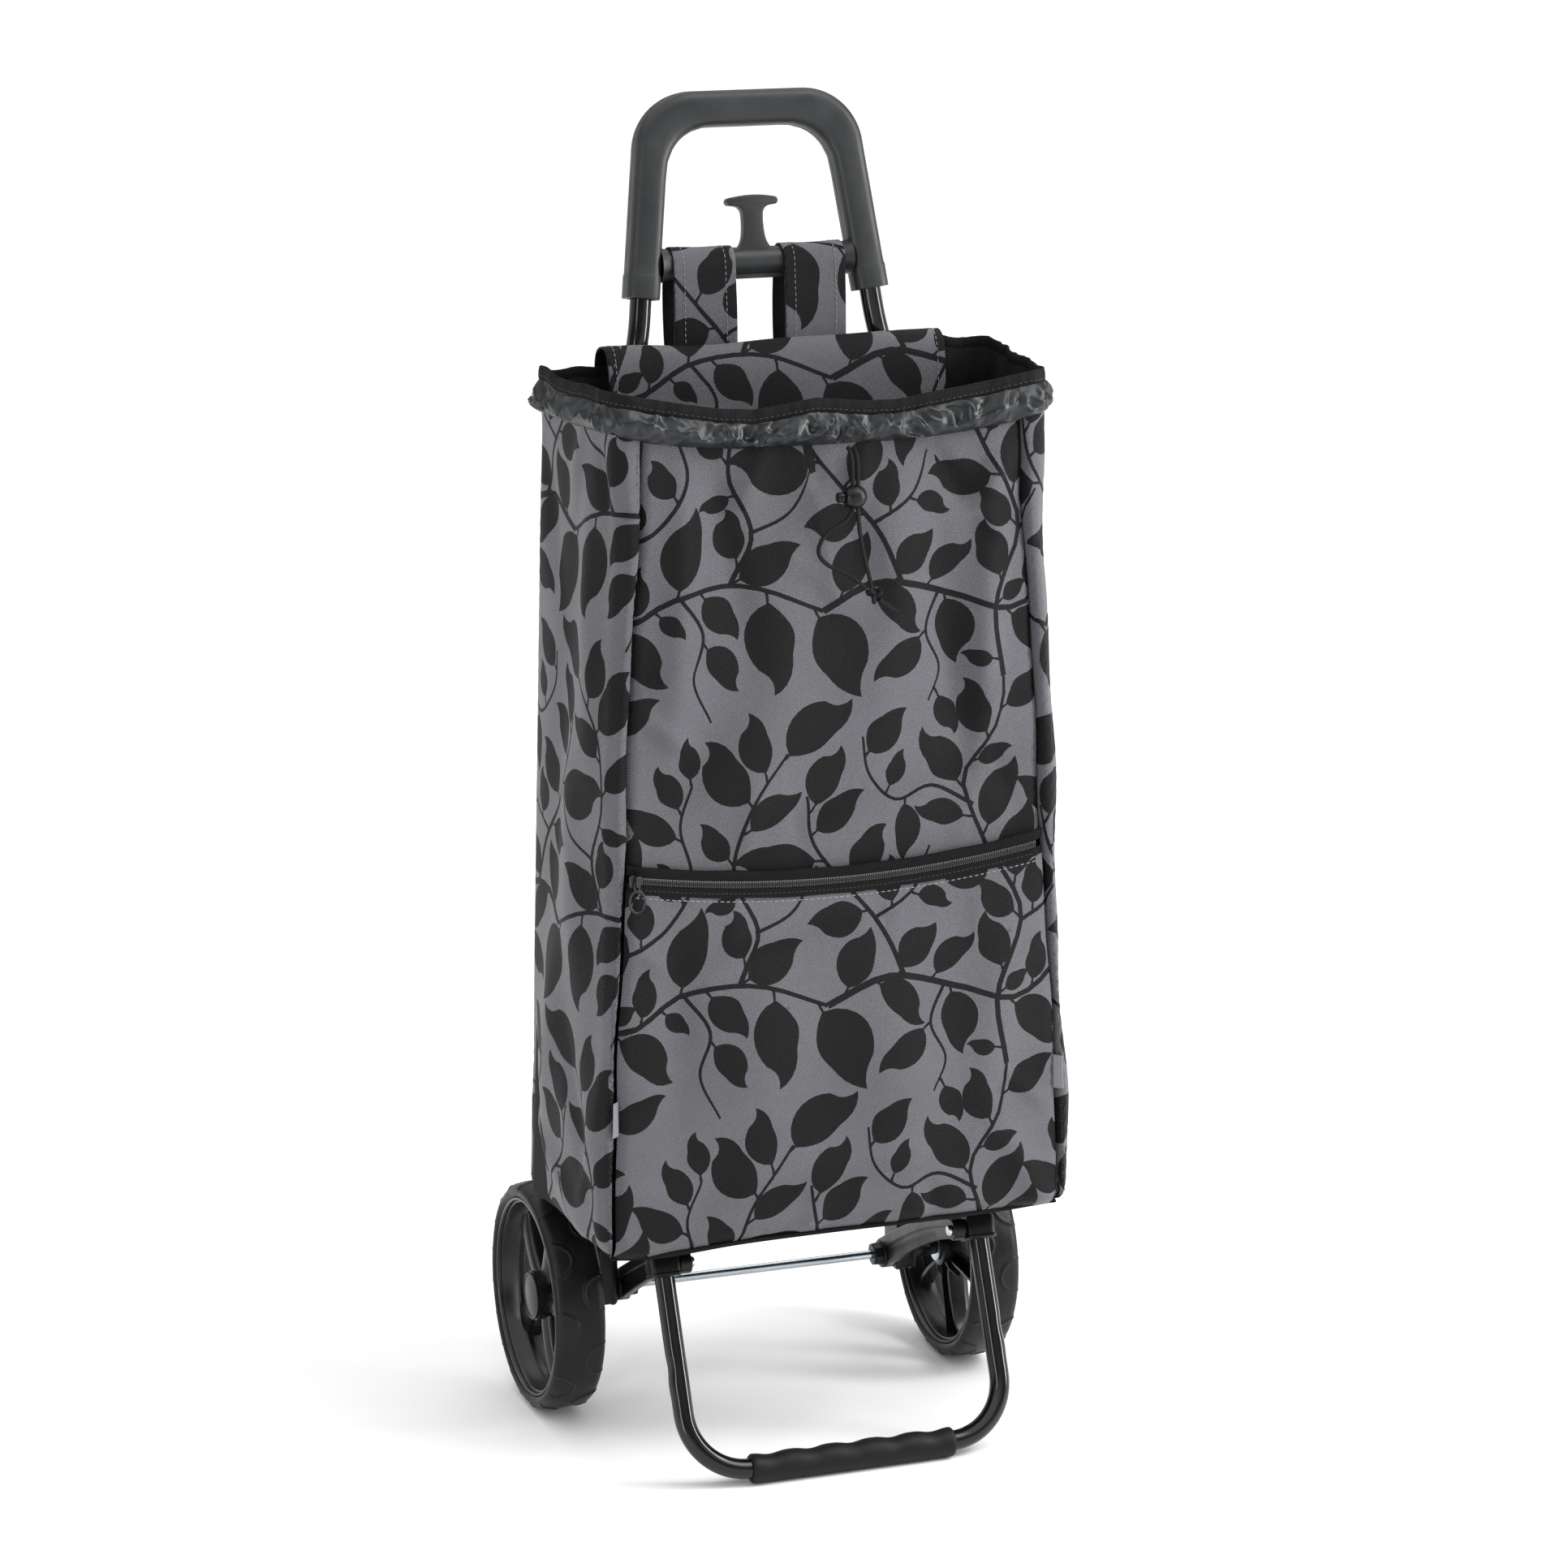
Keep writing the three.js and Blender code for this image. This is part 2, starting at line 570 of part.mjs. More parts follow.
// A screw through the rear shell, its head sunk in the outer face.
function screwAt(x, shank, head, grow) {
  const outside = HANDLE_D / 2;
  const body = new THREE.CylinderGeometry(shank, shank, 12, 10);
  body.translate(0, outside - 7, 0);
  const top = new THREE.CylinderGeometry(head, head, 1.6 + grow * 2, 12);
  top.translate(0, outside - 0.8 + grow, 0);
  return join(body, top).translate(x, 0, 60);
}

// ---- bag ----------------------------------------------------------------------------------

const height = (z) => (z - BAG_BOTTOM) / (BAG_TOP - BAG_BOTTOM);
const frontY = (z) => -183 + 15 * height(z);
const rearY = (z) => -15 - 11 * height(z);
const seamX = (z) => 176 - 32 * Math.max(height(z), 0) ** 1.15;
const cornerX = (z) => 187 - 22.5 * height(z);
const rearX = (z) => 189 - 12 * height(z);
const lerp = THREE.MathUtils.lerp;

// Level of the zip at x: a shallow arc that sags in the middle.
const zipZ = (x) => ZIP_Z - ZIP_SAG * (1 - (x / ZIP_HALF_X) ** 2);

function addBagPanels() {
  add('bag_front_panel', panel(
    (u, v) => {
      const z = lerp(BAG_BOTTOM, BAG_TOP, v);
      return vec((2 * u - 1) * (seamX(z) - SEAM_GAP), frontY(z), z);
    },
    () => vec(0, FABRIC, 0), 4, 6,
  ), printedCloth());

  add('pocket_panel', panel(
    (u, v) => {
      const side = 2 * u - 1;
      const top = zipZ(side * ZIP_HALF_X) - 13;
      const z = lerp(BAG_BOTTOM + 1, top, v);
      const swell = 7 * Math.sin(Math.PI * u) * Math.sin(Math.PI * v);
      return vec(side * (seamX(z) - 2.5), frontY(z) - POCKET_GAP - FABRIC - swell, z);
    },
    () => vec(0, FABRIC, 0), 8, 6,
  ), printedCloth());

  for (const [side, sign] of SIDES) {
    const plan = (u, z) => {
      const corner = [
        [seamX(z), frontY(z)], [cornerX(z) - 8, frontY(z) + 1.5], [cornerX(z) - 2, frontY(z) + 6],
        [cornerX(z), frontY(z) + 14], [lerp(cornerX(z), rearX(z), 0.5), lerp(frontY(z), rearY(z), 0.5)],
        [rearX(z), rearY(z) - 10], [rearX(z) - 8, rearY(z)],
      ];
      return corner[Math.round(u * 6)];
    };
    const inward = (u) => {
      const steps = [[0, 1], [-0.3, 1], [-1, 1], [-1, 0.3], [-1, 0], [-1, -0.3], [-1, -1]];
      const [x, y] = steps[Math.round(u * 6)];
      return vec(sign * x * FABRIC, y * FABRIC, 0);
    };
    add(`bag_gusset_${side}`, panel(
      (u, v) => {
        const z = lerp(BAG_BOTTOM, BAG_TOP, v);
        const [x, y] = plan(u, z);
        return vec(sign * x, y, z);
      }, inward, 6, 4,
    ), printedCloth());

    add(`label_tab_${side}`, panel(
      (u, v) => {
        const z = lerp(269, 294, v);
        return vec(sign * (seamX(z) - 7 + 8 * u), frontY(z) - POCKET_GAP - FABRIC - 1, z);
      },
      () => vec(0, -1.1, 0), 1, 1,
    ), finish(0x77777c, 0.8));
  }

  add('bag_back_panel', panel(
    (u, v) => {
      const z = lerp(BAG_BOTTOM, BAG_TOP, v);
      return vec((2 * u - 1) * (rearX(z) - 8 - FABRIC - SEAM_GAP), rearY(z), z);
    },
    () => vec(0, -FABRIC, 0), 2, 3,
  ), blackNylon());
}

function addBagBase() {
  const middle = (frontY(BAG_BOTTOM) + rearY(BAG_BOTTOM)) / 2;
  const half = (rearY(BAG_BOTTOM) - frontY(BAG_BOTTOM)) / 2;
  const plate = (halfX, halfY, z, thick) => new THREE.ExtrudeGeometry(
    roundedRect(halfX, halfY, 10), { depth: thick, bevelEnabled: false, curveSegments: 4 },
  ).translate(0, middle, z);
  add('bag_base', plate(186, half + 1, BAG_BOTTOM - GAP - FABRIC, FABRIC), blackTape());
  add('base_board', plate(173, half - 6, BAG_BOTTOM, 4), board());
}

// A level ring of fabric round the bag's mouth, as a stack of rounded outlines.
function mouthRing(levels, thick) {
  const rings = levels.map(([z, grow]) => {
    const halfX = 166 + grow;
    const front = -169 - grow * 0.5;
    const rear = -27;
    const outline = roundedRect(halfX, (rear - front) / 2, 16).getPoints(3).slice(0, -1);
    return outline.map((p) => vec(p.x * (1 + (MOUTH_TAPER * p.y) / 71), p.y + (front + rear) / 2, z));
  });
  const inner = rings.map((ring) => ring.map((p) => vec(
    p.x * (1 - thick / 166), -98 + (p.y + 98) * (1 - thick / 71), p.z,
  )));
  return loft([...rings, ...inner.reverse()], true);
}

function addMouth() {
  add('mouth_collar', mouthRing([[BAG_TOP + SEAM_GAP, 0], [780, 9], [COLLAR_TOP, 13]], 2.4), blackNylon());
  add('collar_binding', mouthRing([[COLLAR_TOP + SEAM_GAP, 13], [COLLAR_TOP + BINDING_H, 14]], 3),
    blackTape());
}

// A flat band that follows a route of [y, z] points, with its thickness to the side given.
function band(x0, x1, route, thick, segments) {
  const curve = new THREE.CatmullRomCurve3(route.map(([y, z]) => vec(0, y, z)));
  return panel(
    (u, v) => curve.getPoint(v).add(vec(lerp(x0, x1, u), 0, 0)),
    (u, v) => {
      const t = curve.getTangent(v);
      return vec(0, t.z * thick, -t.y * thick);
    },
    1, segments,
  );
}

function addFlapAndStraps() {
  const width = [-FLAP_HALF_X, FLAP_HALF_X];
  add('lid_flap_root', band(...width, [[-22, 776], [-22, 800], [-26.5, 812.5], [-38.6, 818]],
    -FABRIC, 6), printedCloth());
  add('lid_flap', band(...width, [
    [-40.6, 818.2], [-49, 815.5], [-56, 801], [-60.5, 775], [-64, 740], [-66, 702],
  ], -FABRIC, 10), printedCloth());

  // each strap runs up in front of the crossbar, over it, and down behind it
  const barY = HANDLE_FOOT.y + CROSSBAR_W * Math.sin(HANDLE_LEAN);
  const barZ = HANDLE_FOOT.z + CROSSBAR_W * Math.cos(HANDLE_LEAN);
  const over = [];
  for (let i = 0; i <= 4; i++) {
    const angle = Math.PI * (1 - i / 4);
    over.push([barY + STRAP_LOOP_R * Math.cos(angle), barZ + STRAP_LOOP_R * Math.sin(angle)]);
  }
  const route = [
    [-18.6, 740], [-17.6, 790], [-17.2, 838], ...over,
    [11.4, 842], [8, 806], [-4, 772], [-15, 748], [-16, 738],
  ];
  for (const [side, sign] of SIDES) {
    const x = sign * STRAP_X;
    add(`strap_${side}`, band(x - STRAP_W / 2, x + STRAP_W / 2, route, 1.5, 2 * (route.length - 1)),
      printedCloth());
  }
}

// ---- zip ----------------------------------------------------------------------------------

function addZip() {
  const strip = (low, high, proud, thick) => panel(
    (u, v) => {
      const x = lerp(-ZIP_HALF_X, ZIP_HALF_X, u);
      const z = zipZ(x) + lerp(low, high, v);
      return vec(x, frontY(z) - proud, z);
    },
    () => vec(0, -thick, 0), 14, 1,
  );
  add('zip_tape_upper', strip(2.6, 12, 0.4, 1), blackTape());
  add('zip_tape_lower', strip(-12.4, -2.6, 0.4, 1), blackTape());
  add('zip_coil', strip(-2.2, 2.2, 0.4, 2), finish(0x202021, 0.4));

  const x = -ZIP_HALF_X + 5.8;
  const z = zipZ(x);
  const y = frontY(z);
  const slider = join(
    box(x - 5.5, x + 5.5, y - 5.8, y - 3.2, z - 4.8, z + 4.8),
    box(x - 1.4, x + 1.4, y - 9, y - 5.4, z - 4.5, z - 2.5),
    box(x - 1.4, x + 1.4, y - 9, y - 5.4, z + 2.5, z + 4.5),
    box(x - 1.4, x + 1.4, y - 10.4, y - 8.9, z - 4.5, z + 4.5),
  );
  add('zip_slider', slider, finish(0x4a4b4d, 0.35, 0.8));

  // flat oval ring that hangs in front of the pocket, its eye through the slider's bridge
  const ring = roundedRect(5.5, 12, 5.4);
  ring.holes.push(roundedRect(3.8, 10.3, 3.7));
  const puller = new THREE.ExtrudeGeometry(ring, { depth: 1.4, bevelEnabled: false, curveSegments: 5 });
  puller.rotateX(Math.PI / 2).translate(x, y - 6.7, z - 11.15);
  add('zip_puller', puller, finish(0x3c3d3f, 0.3, 0.8));
}

// ---- drawcord -----------------------------------------------------------------------------

const LOCK = vec(8.6, -187.6, 725);
const LOCK_R = 8.5;
const KNOT = vec(22.6, -190, 653.5);

function addDrawcord() {
  const strand = (name, points, steps) => {
    const curve = new THREE.CatmullRomCurve3(points.map(([x, y, z]) => vec(x, y, z)));
    add(name, pipe(curve, CORD_R, 0, 8, steps), blackTape());
  };
  strand('drawcord_straight', [
    [10.6, -178.6, 759], [10.6, -183.5, 755.5], [10.6, -187, 749.5], [10.6, -187.6, 740],
    [10.6, -187.6, 730], [10.6, -187.6, 716], [12, -188.2, 700], [14.6, -189, 684],
    [18.4, -190, 668], [20.6, -190, 658.4],
  ], 24);
  strand('drawcord_loop', [
    [6.6, -178.6, 759], [6.6, -183.5, 755.5], [6.6, -187, 749.5], [6.6, -187.6, 740],
    [6.6, -187.6, 730], [6.6, -187.6, 716], [1, -188, 708], [-10, -188, 702], [-17.5, -188, 694],
    [-18.8, -188, 685], [-12, -188, 677], [0, -188.6, 671], [9, -190, 665], [16.2, -190, 658.2],
  ], 28);
  const bodyBall = new THREE.SphereGeometry(LOCK_R, 16, 10).rotateX(Math.PI / 2)
    .translate(LOCK.x, LOCK.y, LOCK.z);
  const channel = box(LOCK.x - 4.2, LOCK.x + 4.2, LOCK.y - 2.2, LOCK.y + 2.2, LOCK.z - 12, LOCK.z + 12);
  const buttonBore = rodX(LOCK.x - 12, LOCK.x - 4.5, LOCK.y, LOCK.z, 4.1, 12);
  add('cord_lock_body', cut(bodyBall, channel, buttonBore), blackPlastic());
  add('cord_lock_button', rodX(LOCK.x - 14, LOCK.x - 7.8, LOCK.y, LOCK.z, 3.8, 12), blackPlastic());

  add('cord_knot', new THREE.IcosahedronGeometry(4.6, 1).scale(1.25, 1, 0.95)
    .translate(KNOT.x, KNOT.y, KNOT.z), blackTape());
  strand('drawcord_tail', [
    [28.4, -190, 648.6], [33, -189, 645], [38, -188, 641.5], [42, -187.6, 639.3],
  ], 5);
}

// ---- assembly -----------------------------------------------------------------------------

for (const [side, sign] of SIDES) {
  addWheel(side, sign);
  addRearTube(side, sign);
  addBracket(side, sign);
  addArm(side, sign);
}
addAxle();
addFoot();
addHandle();
addBagPanels();
addBagBase();
addMouth();
addFlapAndStraps();
addZip();
addDrawcord();

export default trolley;
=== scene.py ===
"""Looks of the shopping trolley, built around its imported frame.

Shapes are worked out in millimetres with the wheel axle at y = 0, and place() moves them
into the row frame in metres.
"""
import math
import random

import bpy
import numpy as np
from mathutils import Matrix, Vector, noise
from mathutils.geometry import delaunay_2d_cdt


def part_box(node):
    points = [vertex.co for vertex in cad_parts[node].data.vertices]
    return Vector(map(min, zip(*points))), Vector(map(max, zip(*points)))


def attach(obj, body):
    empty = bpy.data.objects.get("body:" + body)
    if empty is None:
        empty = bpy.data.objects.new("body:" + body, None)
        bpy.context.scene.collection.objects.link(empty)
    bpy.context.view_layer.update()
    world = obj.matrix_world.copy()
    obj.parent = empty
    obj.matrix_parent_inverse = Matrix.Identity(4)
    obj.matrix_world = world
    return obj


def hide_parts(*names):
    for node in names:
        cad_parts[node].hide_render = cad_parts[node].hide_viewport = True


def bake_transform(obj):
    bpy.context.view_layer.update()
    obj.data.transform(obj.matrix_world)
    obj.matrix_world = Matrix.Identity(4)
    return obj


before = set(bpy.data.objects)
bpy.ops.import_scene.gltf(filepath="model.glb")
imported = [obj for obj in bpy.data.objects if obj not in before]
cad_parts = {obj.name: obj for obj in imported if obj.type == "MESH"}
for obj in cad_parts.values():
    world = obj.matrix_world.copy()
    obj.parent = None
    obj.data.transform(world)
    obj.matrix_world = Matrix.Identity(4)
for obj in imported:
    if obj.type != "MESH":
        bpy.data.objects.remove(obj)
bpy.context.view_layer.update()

AXLE_LOW, AXLE_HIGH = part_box("axle_rod")
AXLE_Y = (AXLE_LOW.y + AXLE_HIGH.y) / 2
AXLE_Z = (AXLE_LOW.z + AXLE_HIGH.z) / 2 * 1000

# ---- camera --------------------------------------------------------------------------------

camera = bpy.data.objects.new("camera", bpy.data.cameras.new("camera"))
bpy.context.scene.collection.objects.link(camera)
camera.location = (-1.2099, -3.2639, 1.3246)
camera.rotation_euler = (math.radians(76.5), 0, math.radians(-20.33))
camera.data.lens = 110.6
camera.data.sensor_width = 36
camera.data.clip_end = 200
bpy.context.scene.camera = camera


# ---- small helpers -------------------------------------------------------------------------

def place(points):
    """Millimetres from the axle to metres in the row frame."""
    p = np.asarray(points, float) / 1000
    p[..., 1] += AXLE_Y
    return p


def bevelled(obj, width, segments=2, angle=35):
    mod = obj.modifiers.new("bevel", "BEVEL")
    mod.width, mod.segments = width / 1000, segments
    mod.limit_method, mod.angle_limit = "ANGLE", math.radians(angle)
    mod.harden_normals = True
    return obj


def piece(name, verts, faces, materials, body="frame", slot=None, nodes=(), uv=None,
          index=None, sharp=45):
    """A mesh piece that rides on a body and stands for the CAD nodes named."""
    mesh = bpy.data.meshes.new(name)
    mesh.from_pydata(place(verts).tolist(), [], [tuple(int(i) for i in f) for f in faces])
    materials = materials if isinstance(materials, (list, tuple)) else [materials]
    for m in materials:
        mesh.materials.append(m)
    mesh.polygons.foreach_set("use_smooth", [True] * len(mesh.polygons))
    if index is not None:
        mesh.polygons.foreach_set("material_index", [int(i) for i in index])
    if uv is not None:
        layer = mesh.uv_layers.new(name="UVMap")
        loops = np.zeros(len(mesh.loops), np.int32)
        mesh.loops.foreach_get("vertex_index", loops)
        layer.data.foreach_set("uv", (np.asarray(uv, float)[loops] / 1000).ravel())
    mesh.update()
    if sharp:
        mesh.set_sharp_from_angle(angle=math.radians(sharp))
    obj = bpy.data.objects.new(name, mesh)
    bpy.context.scene.collection.objects.link(obj)
    if body:
        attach(obj, body)
    if nodes:
        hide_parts(*nodes)
    return obj


def grid_faces(nu, nv, wrap_u=False, wrap_v=False):
    """Quads of a grid of nu by nv points, stored row by row."""
    faces = []
    for j in range(nv if wrap_v else nv - 1):
        for i in range(nu if wrap_u else nu - 1):
            k, m = (i + 1) % nu, (j + 1) % nv
            faces.append((j * nu + i, j * nu + k, m * nu + k, m * nu + i))
    return faces


def capped(faces, nu, nv):
    """Grid faces of a tube of nv rings, with flat ends."""
    return faces + [tuple(range(nu))[::-1], tuple((nv - 1) * nu + i for i in range(nu))]


def spline(points, samples):
    """A smooth line through the points, evenly sampled by length."""
    p = np.asarray(points, float)
    p = np.vstack([2 * p[0] - p[1], p, 2 * p[-1] - p[-2]])
    out = []
    for i in range(1, len(p) - 2):
        for t in np.linspace(0, 1, 24, endpoint=False):
            a, b, c, d = p[i - 1], p[i], p[i + 1], p[i + 2]
            out.append(0.5 * (2 * b + (c - a) * t + (2 * a - 5 * b + 4 * c - d) * t ** 2
                              + (3 * b - a - 3 * c + d) * t ** 3))
    out.append(p[-2])
    return resample(np.array(out), samples)


def resample(line, samples):
    along = np.concatenate([[0], np.cumsum(np.linalg.norm(np.diff(line, axis=0), axis=1))])
    at = np.linspace(0, along[-1], samples)
    return np.stack([np.interp(at, along, line[:, k]) for k in range(line.shape[1])], axis=1)


def frames(line):
    """Tangents and two side directions that don't twist along the line."""
    tangent = np.gradient(line, axis=0)
    tangent /= np.linalg.norm(tangent, axis=1)[:, None]
    side = np.cross(tangent[0], (0.13, 0.21, 0.97))
    side /= np.linalg.norm(side)
    sides = []
    for t in tangent:
        side = side - (side @ t) * t
        side = side / np.linalg.norm(side)
        sides.append(side)
    sides = np.array(sides)
    return tangent, sides, np.cross(tangent, sides)


def tube(line, radius, around=24):
    """Rings of a tube along a line; radius is a number or a function of (share, angle)."""
    line = np.asarray(line, float)
    _, a, b = frames(line)
    angle = np.linspace(0, 2 * math.pi, around, endpoint=False)
    rings = []
    for i, centre in enumerate(line):
        r = radius if not callable(radius) else radius(i / (len(line) - 1), angle)
        rings.append(centre + (np.cos(angle) * r)[:, None] * a[i]
                     + (np.sin(angle) * r)[:, None] * b[i])
    verts = np.concatenate(rings)
    length = np.concatenate([[0], np.cumsum(np.linalg.norm(np.diff(line, axis=0), axis=1))])
    mean = radius if not callable(radius) else 5
    uv = np.array([(j / around * 2 * math.pi * mean, length[i])
                   for i in range(len(line)) for j in range(around)])
    return verts, capped(grid_faces(around, len(line), wrap_u=True), around, len(line)), uv


def lathe_x(profile, around, swell=None):
    """A body turned about the x axis. profile holds (x, radius); swell adds to the radius."""
    angle = np.linspace(0, 2 * math.pi, around, endpoint=False)
    rings, uv = [], []
    run = 0
    for i, (x, r) in enumerate(profile):
        if i:
            run += math.hypot(x - profile[i - 1][0], r - profile[i - 1][1])
        rr = np.full(around, float(r)) + (swell(x, r, angle) if swell else 0)
        rings.append(np.stack([np.full(around, float(x)), -rr * np.sin(angle),
                               rr * np.cos(angle)], axis=1))
        uv += [(a * max(r, 1), run) for a in angle]
    return np.concatenate(rings), grid_faces(around, len(profile), wrap_u=True), np.array(uv)


def arc(cx, cy, r, start, end, n):
    a = np.radians(np.linspace(start, end, n))
    return [(cx + r * math.cos(t), cy + r * math.sin(t)) for t in a]


def joined(*parts):
    """Several (verts, faces, uv) bodies as one."""
    verts, faces, uv, base = [], [], [], 0
    for v, f, t in parts:
        verts.append(np.asarray(v, float))
        uv.append(np.asarray(t, float) if t is not None else np.zeros((len(v), 2)))
        faces += [tuple(i + base for i in face) for face in f]
        base += len(v)
    return np.concatenate(verts), faces, np.concatenate(uv)


def shifted(part, dx=0, dy=0, dz=0):
    v, f, t = part
    return np.asarray(v, float) + (dx, dy, dz), f, t


def extruded(outline, depth):
    """A flat outline of (x, z) points, depth thick along y and centred on y = 0."""
    n = len(outline)
    verts = [(x, -depth / 2, z) for x, z in outline] + [(x, depth / 2, z) for x, z in outline]
    faces = [tuple(range(n)), tuple(range(n, 2 * n))[::-1]]
    faces += [(i, i + n, (i + 1) % n + n, (i + 1) % n) for i in range(n)]
    return np.array(verts), faces, np.array([(x, z) for x, z in outline] * 2)


# ---- materials -----------------------------------------------------------------------------

def material(name, color, roughness, metallic=0.0, **sockets):
    mat = bpy.data.materials.new(name)
    mat.use_nodes = True
    tree = mat.node_tree
    bsdf = tree.nodes["Principled BSDF"]
    bsdf.inputs["Base Color"].default_value = (*color, 1)
    bsdf.inputs["Roughness"].default_value = roughness
    bsdf.inputs["Metallic"].default_value = metallic
    for key, value in sockets.items():
        bsdf.inputs[key.replace("_", " ")].default_value = value
    return mat, tree, bsdf


def node(tree, kind, **settings):
    n = tree.nodes.new(kind)
    for key, value in settings.items():
        if key in n.inputs.keys():
            n.inputs[key].default_value = value
        else:
            setattr(n, key, value)
    return n


def ramp(tree, source, low, high, from_low=0.3, from_high=0.7):
    r = tree.nodes.new("ShaderNodeMapRange")
    r.inputs["From Min"].default_value, r.inputs["From Max"].default_value = from_low, from_high
    r.inputs["To Min"].default_value, r.inputs["To Max"].default_value = low, high
    tree.links.new(source, r.inputs["Value"])
    return r.outputs["Result"]


def tinted(tree, bsdf, factor, dark, light):
    mix = tree.nodes.new("ShaderNodeMix")
    mix.data_type = "RGBA"
    mix.inputs["A"].default_value = (*dark, 1)
    mix.inputs["B"].default_value = (*light, 1)
    tree.links.new(factor, mix.inputs["Factor"])
    tree.links.new(mix.outputs["Result"], bsdf.inputs["Base Color"])


def bumped(tree, bsdf, sources):
    """Chains bump nodes: sources holds (height socket, distance in metres, strength)."""
    last = None
    for socket, distance, strength in sources:
        b = node(tree, "ShaderNodeBump", Distance=distance, Strength=strength)
        tree.links.new(socket, b.inputs["Height"])
        if last:
            tree.links.new(last, b.inputs["Normal"])
        last = b.outputs["Normal"]
    tree.links.new(last, bsdf.inputs["Normal"])


def object_noise(tree, scale, detail=3.0):
    coords = tree.nodes.new("ShaderNodeTexCoord")
    n = node(tree, "ShaderNodeTexNoise", Scale=scale, Detail=detail)
    tree.links.new(coords.outputs["Object"], n.inputs["Vector"])
    return n.outputs["Fac"]


def moulded(name, color, roughness, grain=2600.0, depth=0.00004, spread=0.08, wear=1.35, **sockets):
    """Plastic or rubber with a fine mould grain, cloudy gloss and slightly worn tone."""
    mat, tree, bsdf = material(name, color, roughness, **sockets)
    cloud = object_noise(tree, 45.0, 5.0)
    fine = object_noise(tree, grain, 2.0)
    tree.links.new(ramp(tree, cloud, roughness - spread, roughness + spread), bsdf.inputs["Roughness"])
    tinted(tree, bsdf, ramp(tree, cloud, 0, 1), [c * 0.9 for c in color], [c * wear for c in color])
    bumped(tree, bsdf, [(cloud, 0.0006, 0.06), (fine, depth, 0.6)])
    return mat


def woven(name, color, roughness, pitch=1.05, lean=48, contrast=0.3, depth=0.00022, **sockets):
    """Twill: leaning wale lines crossed by fine yarn, with slow colour drift."""
    mat, tree, bsdf = material(name, color, roughness, **sockets)
    coords = tree.nodes.new("ShaderNodeUVMap")
    coords.uv_map = "UVMap"
    heights = []
    for turn, size in ((lean, pitch), (lean - 90, pitch * 0.62)):
        m = tree.nodes.new("ShaderNodeMapping")
        m.inputs["Rotation"].default_value = (0, 0, math.radians(turn))
        tree.links.new(coords.outputs["UV"], m.inputs["Vector"])
        w = node(tree, "ShaderNodeTexWave", wave_type="BANDS", bands_direction="X",
                 Scale=2 * math.pi / 20 / (size / 1000), Distortion=0.35)
        w.inputs["Detail Scale"].default_value = 2
        tree.links.new(m.outputs["Vector"], w.inputs["Vector"])
        heights.append(w.outputs["Fac"])
    drift = node(tree, "ShaderNodeTexNoise", Scale=14.0, Detail=4.0)
    tree.links.new(coords.outputs["UV"], drift.inputs["Vector"])
    add = node(tree, "ShaderNodeMath", operation="MULTIPLY_ADD")
    tree.links.new(heights[1], add.inputs[0])
    add.inputs[1].default_value = 0.35
    tree.links.new(heights[0], add.inputs[2])
    both = node(tree, "ShaderNodeMath", operation="MULTIPLY_ADD")
    tree.links.new(drift.outputs["Fac"], both.inputs[0])
    both.inputs[1].default_value = 0.5
    tree.links.new(add.outputs["Value"], both.inputs[2])
    tinted(tree, bsdf, ramp(tree, both.outputs["Value"], 0, 1, 0.1, 1.7),
           [c * (1 - contrast) for c in color], [min(1, c * (1 + contrast)) for c in color])
    bumped(tree, bsdf, [(heights[0], depth, 0.8), (heights[1], depth * 0.6, 0.6)])
    return mat


handle_plastic = moulded("handle_plastic", (0.0175, 0.0185, 0.0195), 0.42, wear=1.15, Specular_IOR_Level=0.36)
black_plastic = moulded("black_plastic", (0.004, 0.004, 0.0044), 0.33, Specular_IOR_Level=0.26)
rim_plastic = moulded("rim_plastic", (0.0045, 0.0048, 0.0052), 0.28, grain=1800, Specular_IOR_Level=0.36)
tyre_rubber = moulded("tyre_rubber", (0.005, 0.005, 0.0055), 0.4, grain=1500, depth=0.00005, wear=1.6,
                      Specular_IOR_Level=0.2)
grip_rubber = moulded("grip_rubber", (0.005, 0.005, 0.0055), 0.55, grain=1900, depth=0.00007,
                      Specular_IOR_Level=0.2)
black_paint = moulded("black_paint", (0.003, 0.003, 0.0034), 0.13, grain=900, depth=0.00001,
                      spread=0.02, Specular_IOR_Level=0.4)
white_nylon = moulded("white_nylon", (0.55, 0.55, 0.52), 0.45)
board = moulded("board", (0.012, 0.012, 0.012), 0.7, grain=700, depth=0.0001)
zip_metal = moulded("zip_metal", (0.035, 0.036, 0.038), 0.3, metallic=0.85)
zip_plastic = moulded("zip_plastic", (0.022, 0.022, 0.023), 0.24, Specular_IOR_Level=0.6)
printed_grey = woven("cloth_grey", (0.078, 0.077, 0.090), 0.5, pitch=1.45, contrast=0.7, depth=0.0005,
                     Specular_IOR_Level=0.5, Sheen_Weight=0.15,
                     Sheen_Roughness=0.4)
printed_black = woven("cloth_print", (0.0048, 0.0048, 0.0052), 0.55, pitch=1.45, contrast=0.6, depth=0.0004,
                      Specular_IOR_Level=0.13)
lining_black = woven("cloth_back", (0.0045, 0.0045, 0.005), 0.62, contrast=0.3, Specular_IOR_Level=0.14)
black_tape = woven("tape", (0.0045, 0.0045, 0.0045), 0.7, pitch=1.6, lean=0, contrast=0.35, depth=0.0003,
                   Specular_IOR_Level=0.13)
zip_tape = woven("zip_tape", (0.004, 0.004, 0.004), 0.75, pitch=1.2, lean=0, contrast=0.3,
                 Specular_IOR_Level=0.12)
label_cloth = woven("label_cloth", (0.20, 0.20, 0.215), 0.7, pitch=0.7, contrast=0.2)
